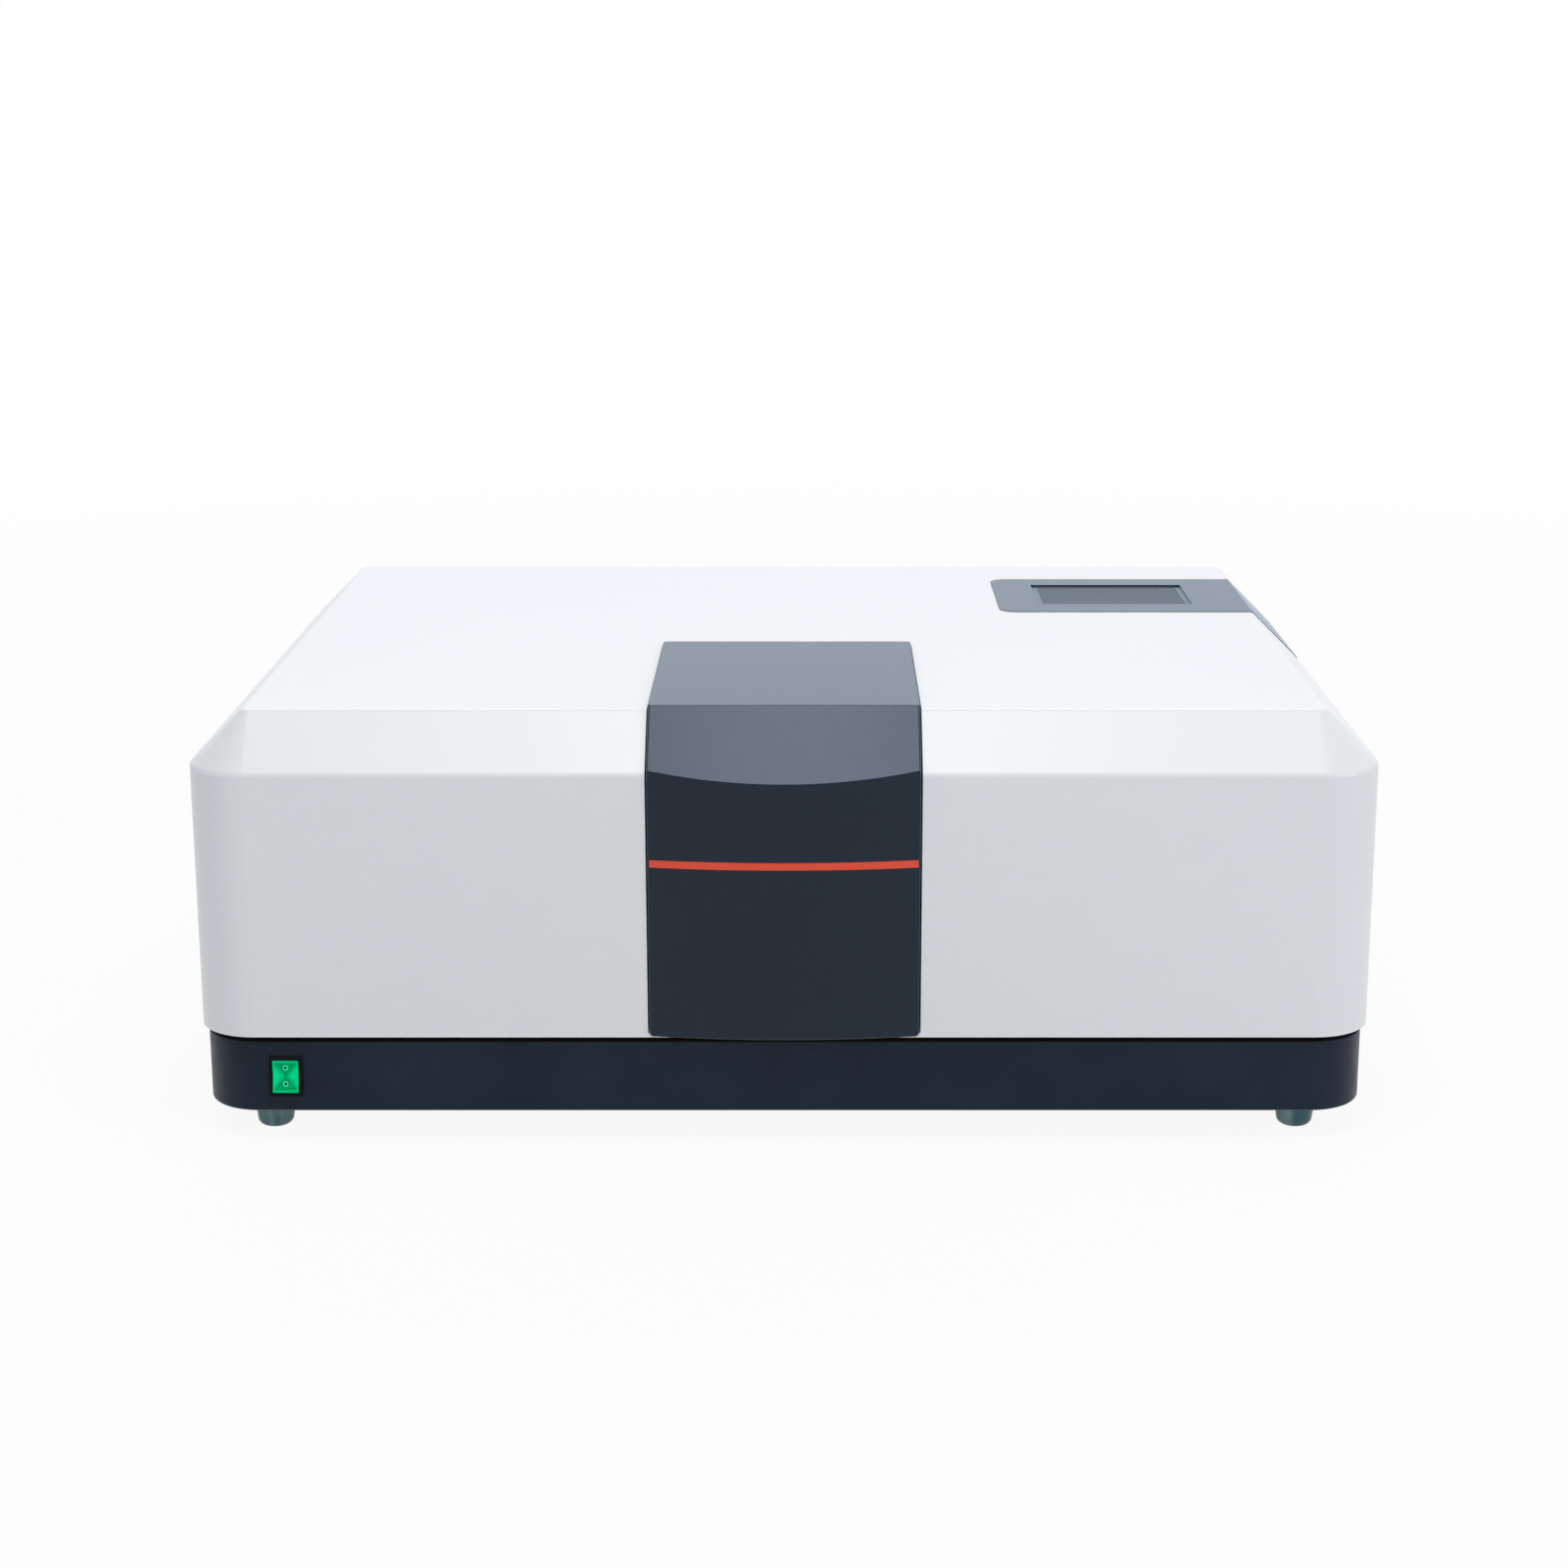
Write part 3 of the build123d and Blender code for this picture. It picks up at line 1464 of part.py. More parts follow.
# Motors under the two turning mirrors, bored for their shafts
with BuildPart() as mirror_motors:
    for x, y, low in ((lamp_house_x, house_y, house_floor), (detector_x, detector_y, detector_floor)):
        with BuildSketch(Plane.XY.offset(low)) as can:
            with Locations((x, y)):
                Circle(small_motor_r)
        extrude(can.sketch, amount=motor_top - low)
        with BuildSketch(Plane.XY.offset(shaft_low - shaft_end_gap)) as bore:
            with Locations((x, y)):
                Circle(shaft_r + running_fit)
        extrude(bore.sketch, amount=shaft_in_motor + shaft_end_gap, mode=Mode.SUBTRACT)
save("mirror_motors", mirror_motors)

# Filter wheel: a disc on its motor's shaft, with a ring of order-sorting filters
wheel_x = house_left - wheel_out
wheel_y = house_y - wheel_filter_ring
wheel_face = wheel_x - wheel_t / 2
motor_face = wheel_x + wheel_t / 2 + motor_gap
filter_step = 360 / wheel_filters
with BuildPart() as filter_wheel:
    with BuildSketch(side_plane(wheel_face)) as disc:
        with Locations((wheel_y, beam_z)):
            Circle(wheel_r)
            with PolarLocations(wheel_filter_ring, wheel_filters):
                Circle(wheel_filter_r, mode=Mode.SUBTRACT)
    extrude(amount=wheel_t)
    with BuildSketch(side_plane(wheel_face)) as stem:
        with Locations((wheel_y, beam_z)):
            Circle(shaft_r)
    extrude(amount=wheel_t + motor_gap + shaft_in_motor)
save("filter_wheel", filter_wheel)

# Filters in five of the wheel's six places, the sixth stays open
with BuildPart() as order_filters:
    with BuildSketch(side_plane(wheel_face + wheel_filter_in)) as panes:
        with Locations((wheel_y, beam_z)):
            with PolarLocations(wheel_filter_ring, wheel_filters - 1, filter_step, 360 - filter_step):
                Circle(wheel_filter_r)
    extrude(amount=wheel_t - 2 * wheel_filter_in)
save("order_filters", order_filters)


def motor_on_foot(plane, down, length):
    """A round motor with a bored front and a foot plate down to the bench; the plane's y points up."""
    with BuildPart() as motor:
        with BuildSketch(plane) as can:
            Circle(small_motor_r)
            with Locations((0, -down / 2)):
                Rectangle(small_motor_r, down)
        extrude(can.sketch, amount=length)
        with BuildSketch(plane) as bore:
            Circle(shaft_r + running_fit)
        extrude(bore.sketch, amount=length - motor_end_t, mode=Mode.SUBTRACT)
    return motor.part


# Filter motor, between the wheel and the lamp house
with BuildPart() as filter_motor:
    seat = Plane(origin=(motor_face, wheel_y, beam_z), x_dir=(0, 1, 0), z_dir=(1, 0, 0))
    add(motor_on_foot(seat, beam_z - bench_top, small_motor_l))
save("filter_motor", filter_motor)

# Chopper: three open sectors that send the light to one beam, then to the other
chopper_x = fold_x - chopper_out
chopper_y = front + chopper_in
chopper_stem = motor_gap + shaft_in_motor
half_sector = pi / chopper_sectors / 2
window_in = (chopper_hub_r * cos(half_sector), chopper_hub_r * sin(half_sector))
window_out = ((chopper_r - chopper_rim) * cos(half_sector), (chopper_r - chopper_rim) * sin(half_sector))
with BuildPart() as chopper_disc:
    with BuildSketch(Plane.XZ.offset(-chopper_y)) as disc:
        with Locations((chopper_x, beam_z)):
            Circle(chopper_r)
    extrude(amount=chopper_t)
    with BuildSketch() as open_sector:
        with BuildLine():
            Line((window_in[0], -window_in[1]), (window_out[0], -window_out[1]))
            ThreePointArc((window_out[0], -window_out[1]), (chopper_r - chopper_rim, 0), window_out)
            Line(window_out, window_in)
            ThreePointArc(window_in, (chopper_hub_r, 0), (window_in[0], -window_in[1]))
        make_face()
    with BuildSketch(Plane.XZ.offset(-chopper_y)) as sectors:
        with Locations((chopper_x, beam_z)):
            with PolarLocations(0, chopper_sectors):
                add(open_sector.sketch)
    extrude(amount=chopper_t, mode=Mode.SUBTRACT)
    with BuildSketch(Plane.XZ.offset(-chopper_y - chopper_stem)) as stem:
        with Locations((chopper_x, beam_z)):
            Circle(shaft_r)
    extrude(amount=chopper_stem + chopper_t)
save("chopper_disc", chopper_disc)

with BuildPart() as chopper_motor:
    seat = Plane(origin=(chopper_x, chopper_y + motor_gap, beam_z), x_dir=(-1, 0, 0), z_dir=(0, 1, 0))
    add(motor_on_foot(seat, beam_z - bench_top, small_motor_l))
save("chopper_motor", chopper_motor)


def mirror_on_post(x, y, turn, low):
    """A fixed flat mirror on a round post."""
    with BuildPart() as piece:
        with BuildSketch(Plane.XY.offset(low)) as post:
            with Locations((x, y)):
                Circle(post_r)
        extrude(post.sketch, amount=mirror_low - low + post_in_mirror)
        with BuildSketch(upright_plane(x, y, beam_z, turn)) as plate:
            RectangleRounded(source_mirror_w, source_mirror_h, mirror_corner_r)
        extrude(plate.sketch, amount=mirror_t / 2, both=True)
    return piece.part


# Fixed mirrors: two send the beams through the compartment, two turn them to the detectors
with BuildPart() as fold_mirrors:
    add(mirror_on_post(fold_x, sample_beam, fold_turn, bench_top))
    add(mirror_on_post(fold_x, reference_beam, fold_turn, bench_top))
    add(mirror_on_post(detector_x, sample_beam, 180 - fold_turn, detector_floor))
    add(mirror_on_post(detector_x, reference_beam, fold_turn - 180, detector_floor))
save("fold_mirrors", fold_mirrors)

# Monochromator: cast box with a light port at the lamp side and one towards the chopper
mono_left = left + mono_side_in
mono_right = house_left - mono_wheel_room
mono_front = front + mono_front_in
mono_back = back - mono_back_in
mono_floor = bench_top + mono_wall
mono_top = bench_top + mono_h
with BuildPart() as monochromator_box:
    extrude(block_face(mono_left, mono_right, mono_front, mono_back, bench_top, mono_corner_r), amount=mono_h)
    extrude(
        block_face(
            mono_left + mono_wall,
            mono_right - mono_wall,
            mono_front + mono_wall,
            mono_back - mono_wall,
            mono_floor,
            mono_corner_r / 2,
        ),
        amount=mono_h,
        mode=Mode.SUBTRACT,
    )
    with BuildSketch(side_plane(mono_right - mono_wall)) as entrance:
        with Locations((house_y, beam_z)):
            Circle(mono_slit_r)
    extrude(amount=mono_wall, mode=Mode.SUBTRACT)
    with BuildSketch(Plane.XZ.offset(-mono_front)) as outlet:
        with Locations((fold_x, beam_z)):
            Circle(mono_slit_r)
    extrude(amount=-mono_wall, mode=Mode.SUBTRACT)
save("monochromator_box", monochromator_box)

with BuildPart() as monochromator_cover:
    cover_plan = block_face(mono_left, mono_right, mono_front, mono_back, mono_top, mono_corner_r)
    extrude(cover_plan, amount=mono_cover_t)
    fillet(monochromator_cover.edges().group_by(Axis.Z)[-1], mono_cover_r)
save("monochromator_cover", monochromator_cover)

# Slit plates inside the two ports
with BuildPart() as slit_plates:
    with BuildSketch(side_plane(mono_right - mono_wall - slit_plate_t)) as entrance_slit:
        with Locations((house_y, beam_z)):
            Rectangle(slit_plate_w, slit_plate_w)
            Rectangle(slit_w, slit_h, mode=Mode.SUBTRACT)
    extrude(entrance_slit.sketch, amount=slit_plate_t)
    with BuildSketch(Plane.XZ.offset(-(mono_front + mono_wall + slit_plate_t))) as exit_slit:
        with Locations((fold_x, beam_z)):
            Rectangle(slit_plate_w, slit_plate_w)
            Rectangle(slit_w, slit_h, mode=Mode.SUBTRACT)
    extrude(exit_slit.sketch, amount=slit_plate_t)
save("slit_plates", slit_plates)


def curved_mirror(x, y, turn):
    """A round concave mirror standing on a block."""
    face = upright_plane(x, y, beam_z, turn)
    bowl_r = (curved_mirror_r**2 + mirror_sag**2) / (2 * mirror_sag)
    block_tall = beam_z - mono_floor - mirror_block_in
    bowl = Sphere(bowl_r, mode=Mode.PRIVATE)
    bowl = bowl.moved(Location(face.from_local_coords((0, 0, bowl_r - mirror_sag))))
    with BuildPart() as piece:
        with BuildSketch(face) as blank:
            Circle(curved_mirror_r)
        extrude(blank.sketch, amount=-curved_mirror_t)
        add(bowl, mode=Mode.SUBTRACT)
        with BuildSketch(face) as block:
            with Locations((0, mono_floor - beam_z + block_tall / 2)):
                Rectangle(mirror_block_w, block_tall)
        extrude(block.sketch, amount=-curved_mirror_t)
    return piece.part


# Collimator and camera mirrors at the far end of the box
turret_x = mono_right - turret_side_in
turret_y = mono_front + turret_front_in
mirror_line = mono_left + mono_wall + mirror_wall_in
with BuildPart() as curved_mirrors:
    add(curved_mirror(mirror_line, house_y, -mirror_toe))
    add(curved_mirror(mirror_line, mono_front + camera_mirror_in, mirror_toe))
save("curved_mirrors", curved_mirrors)

# Grating turret: a table on its motor's shaft with two gratings back to back
table_low = motor_top + motor_gap
with BuildPart() as grating_table:
    with BuildSketch(Plane.XY.offset(table_low)) as disc:
        with Locations((turret_x, turret_y)):
            Circle(table_r)
    extrude(amount=table_t)
    with BuildSketch(Plane.XY.offset(shaft_low)) as stem:
        with Locations((turret_x, turret_y)):
            Circle(shaft_r)
    extrude(amount=shaft_in_motor + motor_gap)
    extrude(
        block_face(
            turret_x - spine_half,
            turret_x + spine_half,
            turret_y - grating_w / 2,
            turret_y + grating_w / 2,
            table_low + table_t,
        ),
        amount=spine_h,
    )
save("grating_table", grating_table)

with BuildPart() as uv_visible_grating:
    extrude(
        block_face(
            turret_x - spine_half - grating_t,
            turret_x - spine_half,
            turret_y - grating_w / 2,
            turret_y + grating_w / 2,
            table_low + table_t,
        ),
        amount=grating_h,
    )
save("uv_visible_grating", uv_visible_grating)

with BuildPart() as near_infrared_grating:
    extrude(
        block_face(
            turret_x + spine_half,
            turret_x + spine_half + grating_t,
            turret_y - grating_w / 2,
            turret_y + grating_w / 2,
            table_low + table_t,
        ),
        amount=grating_h,
    )
save("near_infrared_grating", near_infrared_grating)

with BuildPart() as grating_motor:
    with BuildSketch(Plane.XY.offset(mono_floor)) as can:
        with Locations((turret_x, turret_y)):
            RectangleRounded(grating_motor_w, grating_motor_w, grating_motor_r)
    extrude(amount=motor_top - mono_floor)
    with BuildSketch(Plane.XY.offset(shaft_low - shaft_end_gap)) as bore:
        with Locations((turret_x, turret_y)):
            Circle(shaft_r + running_fit)
    extrude(amount=shaft_in_motor + shaft_end_gap, mode=Mode.SUBTRACT)
save("grating_motor", grating_motor)

# Detector box: open above, with a port for each beam
with BuildPart() as detector_box:
    extrude(
        block_face(detector_left, detector_right, detector_front, detector_back, bench_top, detector_corner_r),
        amount=detector_h,
    )
    extrude(
        block_face(
            detector_left + detector_wall,
            detector_right - detector_wall,
            detector_front + detector_wall,
            detector_back - detector_wall,
            detector_floor,
            detector_corner_r / 2,
        ),
        amount=detector_h,
        mode=Mode.SUBTRACT,
    )
    with BuildSketch(side_plane(detector_left)) as ports:
        with Locations((sample_beam, beam_z), (reference_beam, beam_z)):
            Circle(port_r)
    extrude(amount=detector_wall, mode=Mode.SUBTRACT)
save("detector_box", detector_box)

# Photomultiplier: glass tube with a domed top on a round base
tube_at = (detector_right - tube_wall_in, sample_beam)
with BuildPart() as photomultiplier:
    with BuildSketch(Plane.XY.offset(detector_floor)) as base:
        with Locations(tube_at):
            Circle(tube_r + tube_base_out)
    extrude(amount=tube_base_h)
    with BuildSketch(Plane.XY.offset(detector_floor + tube_base_h)) as glass:
        with Locations(tube_at):
            Circle(tube_r)
    extrude(amount=tube_h)
    fillet(photomultiplier.edges().group_by(Axis.Z)[-1], tube_dome_r)
save("photomultiplier", photomultiplier)

# Near-infrared detector: metal can on a pillar, looking at the turning mirror
with BuildPart() as infrared_detector:
    with BuildSketch(side_plane(detector_right - ir_wall_in)) as can:
        with Locations((reference_beam, beam_z)):
            Circle(ir_r)
            with Locations((0, -(beam_z - detector_floor) / 2)):
                Rectangle(ir_r, beam_z - detector_floor)
    extrude(amount=ir_l)
save("infrared_detector", infrared_detector)

# Power supply: ventilated box in the tray, under the bench
supply_x = left + supply_side_in
supply_y = bench_d / 2 - leg_in - leg_r - supply_leg_gap - supply_d / 2
with BuildPart() as power_supply:
    extrude(
        block_face(
            supply_x - supply_w / 2,
            supply_x + supply_w / 2,
            supply_y - supply_d / 2,
            supply_y + supply_d / 2,
            tray_floor,
            2,
        ),
        amount=supply_h,
    )
    with BuildSketch(Plane.XY.offset(tray_floor + supply_h)) as vents:
        with Locations((supply_x, supply_y)):
            with GridLocations(supply_slot_pitch, 0, supply_slots, 1):
                SlotOverall(supply_slot_l, supply_slot_w, rotation=90)
    extrude(amount=-2, mode=Mode.SUBTRACT)
save("power_supply", power_supply)

# Circuit boards: the main board and the lamp board, with their larger chips
board_y = back - board_back_in
lamp_board_x = supply_x
lamp_board_y = front + lamp_board_in
board_low = tray_floor + standoff_h
boards = ((board_x, board_y, board_w, board_d), (lamp_board_x, lamp_board_y, board_d, board_d / 2))
with BuildPart() as circuit_boards:
    for x, y, wide, deep in boards:
        board_plan = block_face(x - wide / 2, x + wide / 2, y - deep / 2, y + deep / 2, board_low, 2)
        extrude(board_plan, amount=board_t)
        with BuildSketch(Plane.XY.offset(board_low + board_t)) as chips:
            with Locations((x, y)):
                with GridLocations(wide / chip_columns, deep / chip_rows, chip_columns, chip_rows):
                    Rectangle(wide / chip_share, deep / chip_share)
        extrude(chips.sketch, amount=chip_h)
save("circuit_boards", circuit_boards)

with BuildPart() as board_standoffs:
    for x, y, wide, deep in boards:
        with BuildSketch(Plane.XY.offset(tray_floor)) as pillars:
            with Locations((x, y)):
                with GridLocations(wide - 2 * standoff_in, deep - 2 * standoff_in, 2, 2):
                    Circle(standoff_r)
        extrude(pillars.sketch, amount=standoff_h)
save("board_standoffs", board_standoffs)
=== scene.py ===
import json
from math import cos, pi, radians, sin

import bpy
import numpy as np
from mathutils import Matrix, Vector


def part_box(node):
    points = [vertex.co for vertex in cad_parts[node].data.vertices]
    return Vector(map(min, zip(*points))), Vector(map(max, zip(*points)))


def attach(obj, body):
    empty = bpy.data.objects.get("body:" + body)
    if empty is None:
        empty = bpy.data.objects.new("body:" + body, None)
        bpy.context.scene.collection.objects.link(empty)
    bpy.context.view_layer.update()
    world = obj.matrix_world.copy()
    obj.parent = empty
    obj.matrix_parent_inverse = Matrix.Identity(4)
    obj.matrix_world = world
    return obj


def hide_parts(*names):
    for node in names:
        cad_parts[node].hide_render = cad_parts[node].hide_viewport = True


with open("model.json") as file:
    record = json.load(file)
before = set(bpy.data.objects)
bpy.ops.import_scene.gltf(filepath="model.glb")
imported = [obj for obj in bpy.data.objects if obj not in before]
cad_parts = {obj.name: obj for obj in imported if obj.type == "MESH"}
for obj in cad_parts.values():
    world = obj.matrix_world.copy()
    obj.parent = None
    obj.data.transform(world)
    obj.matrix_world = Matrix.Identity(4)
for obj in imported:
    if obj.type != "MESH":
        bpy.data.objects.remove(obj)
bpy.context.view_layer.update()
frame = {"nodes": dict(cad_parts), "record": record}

# Bench spectrophotometer in metres: finishes, fine pieces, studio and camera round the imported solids.

# Camera, fitted to the photograph's edges
CAMERA_AT = (0.0216, -2.3482, 0.7945)
CAMERA_DOWN = 14.33
CAMERA_LENS = 66.16
SENSOR = 36.0
CAMERA_SHIFT_X = -0.01875

# Studio: the fill is the sky's strength for everything but the camera, reflections and glass
SKY_FILL = 0.412
SKY_TINT = (0.94, 0.98, 1.05)
LAMPS = {
    "overhead": dict(at=(0, -0.95, 2.9), turn=(0, 0, 0), size=(2.3, 0.9), power=22, tint=(1, 0.98, 0.94)),
    "middle": dict(at=(0, -0.95, 2.88), turn=(0, 0, 0), size=(0.56, 0.8), power=9.6, tint=(1, 0.99, 0.97)),
    "side": dict(at=(3.0, -2.2, 1.7), turn=(65, 0, 52), size=(2.0, 2.0), power=24, tint=(0.97, 0.985, 1)),
    "back_strip": dict(at=(0, 1.9, 2.1), turn=(-48, 0, 0), size=(3.0, 0.15), power=22, tint=(1, 1, 0.99)),
    "front_strip": dict(at=(0, -2.9, 2.3), turn=(52, 0, 0), size=(3.0, 0.12), power=1.5, tint=(1, 1, 1)),
}
FLOOR_SIZE = 40.0
FLOOR_MATT = (0.86, 0.87, 0.88)
FLOOR_GLOW = 0.92
FLOOR_FADE = (1.2, 3.5)

# Rocker: its lit field's half sizes, height, rounding and soft edge, its angle and pivot, its face's form
LIT_HALF = (0.0093, 0.0117)
LIT_UP = 0.0005
LIT_ROUNDING = 0.12
LIT_EDGE = (0.98, 1.06)
GREEN_SHINE = (0.05, 1, 0.6)
ROCKER_TILT = radians(7)
ROCKER_PIVOT_IN = 0.0005
BEZEL_OUT = 0.002
FACE_DIP = 0.0016
FACE_RISE = 0.0018
FACE_HALF = 0.0125

# Rocker marks: heights on the face, the ring's radii, and the centre's rings with how far each stands out
MARK_HEIGHTS = (0.0066, -0.0056)
RING_R = 0.0016
RING_WIDE = 0.0003
RING_UP = 0.00012
CENTRE_SHARES = (0.06, 0.35, 0.75, 0.78)
CENTRE_LIFTS = (0.00008, 0.00007, 0.00004, -0.0001)

# Fan guard: wire, rings, arms as shares of the way to a hole, and profiles of an eyelet and the middle
GUARD_WIRE = 0.0009
GUARD_RINGS = (0.01935, 0.0316, 0.04385, 0.0561)
GUARD_ARM = (0.09, 0.94)
ARM_WIRE = 0.9 * GUARD_WIRE
FAN_HOLE = 0.0525
EYELET_OUTSIDE = [(0.0024, 0), (0.0048, 0), (0.005, 0.0004), (0.005, 0.0024), (0.0046, 0.0028)]
EYELET_INSIDE = [(0.0026, 0.0028), (0.0022, 0.0024), (0.0022, 0.0002)]
BOSS_TOP = [(0.0005, 0.0026), (0.004, 0.0025), (0.0068, 0.002), (0.008, 0.0012)]
BOSS_BELOW = [(0.0079, 0.0008), (0.0005, 0.0008)]
BOSS_UP = 0.0002

# Fan rotor: hub, and blades whose chord, pitch and thickness run from the root's value to the tip's
HUB_R = 0.02
HUB_POLE_R = 0.0015
HUB_BEVEL = 0.0015
HUB_DISH = 0.001
HUB_DISH_R = 0.013
HUB_EDGE = 0.0005
BORE_R = 0.0027
BORE_END = 0.0025
BORE_POLE_R = 0.001
BLADES = 7
BLADE_TIP_R = 0.0555
BLADE_SUNK = 0.0008
BLADE_CHORD = (0.019, 0.027)
BLADE_PITCH = (radians(52), radians(30))
BLADE_THICK = (0.0012, 0.0008)
BLADE_SWEEP = 0.35
BLADE_CAMBER = 0.12
BLADE_TAPER = 0.65
BLADE_GAP = 0.0003

# Lead screw: thread, and its plain ends
SCREW_LEAD = 0.004
SCREW_STARTS = 2
THREAD_DEEP = 0.00055
THREAD_STEEP = 1.1
PLAIN_NEAR = 0.009
PLAIN_FAR = 0.012
SCREW_EDGE = 0.0004

# Gasket's bulging edge: radius, how far in and down from the tray's edge it lies, and how far beside the
# middle of the front its path starts and ends, with the tray's corner radii
BEAD_R = 0.0019
BEAD_IN = 0.0014
BEAD_DOWN = 0.0004
BEAD_START = 0.01
TRAY_NEAR_R = 0.042
TRAY_FAR_R = 0.011

# Cross-head screws: rings and cross as shares of the head's radius, heights as shares of its height
HEAD_RINGS = (0.06, 0.16, 0.27, 0.4, 0.52, 0.62, 0.74, 0.86, 0.95, 1.0)
HEAD_FALL = 0.35
HEAD_RIM = 0.35
CROSS_HALF = 0.15
CROSS_REACH = 0.62
CROSS_SIDE_FADE = 0.07
CROSS_END_FADE = 0.12
CROSS_DEEP = 0.6

# Screws by what they hold: the head's radius and height, where they stand, and how far each is turned
PANEL_SCREW = (0.0035, 0.002)
PANEL_SCREWS_A_ROW = 5
PANEL_SHANK_R = 0.0017
PANEL_SHANK = 0.004
PANEL_TURN = 9
FAN_SCREW = (0.0036, 0.0013)
BLOCK_SCREW = (0.0026, 0.0014)
BLOCK_SCREW_OUT = 0.021
BLOCK_T = 0.008
HOLDER_SCREW = (0.0026, 0.0015)
HOLDER_SCREW_OUT = 0.015
HOLDER_FLANGE = 0.004
TRAY_SCREW = (0.0034, 0.0018)
TRAY_SCREW_IN = 0.02
TRAY_SCREW_ROW = (-0.18, 0, 0.18)
SCREW_TURN = 0.7

CREASE = radians(35)
TO_BACK = (0, 1, 0)
TO_RIGHT = (1, 0, 0)
UPWARD = (0, 0, 1)
DOWNWARD = (0, 0, -1)


def node_box(name):
    """A solid's lowest and highest corners as arrays."""
    low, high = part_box(name)
    return np.array(low), np.array(high)


def node_middle(name):
    """The middle of a solid's box."""
    low, high = node_box(name)
    return (low + high) / 2


class Graph:
    """The node tree of a material or of the world, emptied, with short ways to add nodes and join them."""

    def __init__(self, owner):
        """Takes over the owner's tree."""
        owner.use_nodes = True
        self.tree = owner.node_tree
        self.tree.nodes.clear()

    def node(self, kind):
        """A new node of the named kind."""
        return self.tree.nodes.new(kind)

    def link(self, source, target):
        """Joins an output to an input."""
        self.tree.links.new(source, target)

    def maths(self, operation, *feeds):
        """The outcome of one operation on numbers or other nodes' outcomes."""
        node = self.node("ShaderNodeMath")
        node.operation = operation
        for feed, socket in zip(feeds, node.inputs):
            if isinstance(feed, (int, float)):
                socket.default_value = feed
            else:
                self.link(feed, socket)
        return node.outputs[0]

    def spread(self, pattern, low, high, from_low=0.35, from_high=0.65):
        """The pattern stretched to run between two values."""
        node = self.node("ShaderNodeMapRange")
        node.inputs["From Min"].default_value = from_low
        node.inputs["From Max"].default_value = from_high
        node.inputs["To Min"].default_value = low
        node.inputs["To Max"].default_value = high
        self.link(pattern, node.inputs["Value"])
        return node.outputs["Result"]

    def blend_of(self, share, first, second):
        """A colour between two, each of which is fixed or comes from another blend."""
        mix = self.node("ShaderNodeMix")
        mix.data_type = "RGBA"
        for end, color in (("A", first), ("B", second)):
            if isinstance(color, tuple):
                mix.inputs[end].default_value = (*color, 1)
            else:
                self.link(color, mix.inputs[end])
        self.link(share, mix.inputs["Factor"])
        return mix.outputs["Result"]

    def seen_in(self, *rays):
        """1 for rays of any of the named kinds, else 0."""
        path = self.node("ShaderNodeLightPath")
        share = path.outputs[rays[0]]
        for ray in rays[1:]:
            share = self.maths("MAXIMUM", share, path.outputs[ray])
        return share


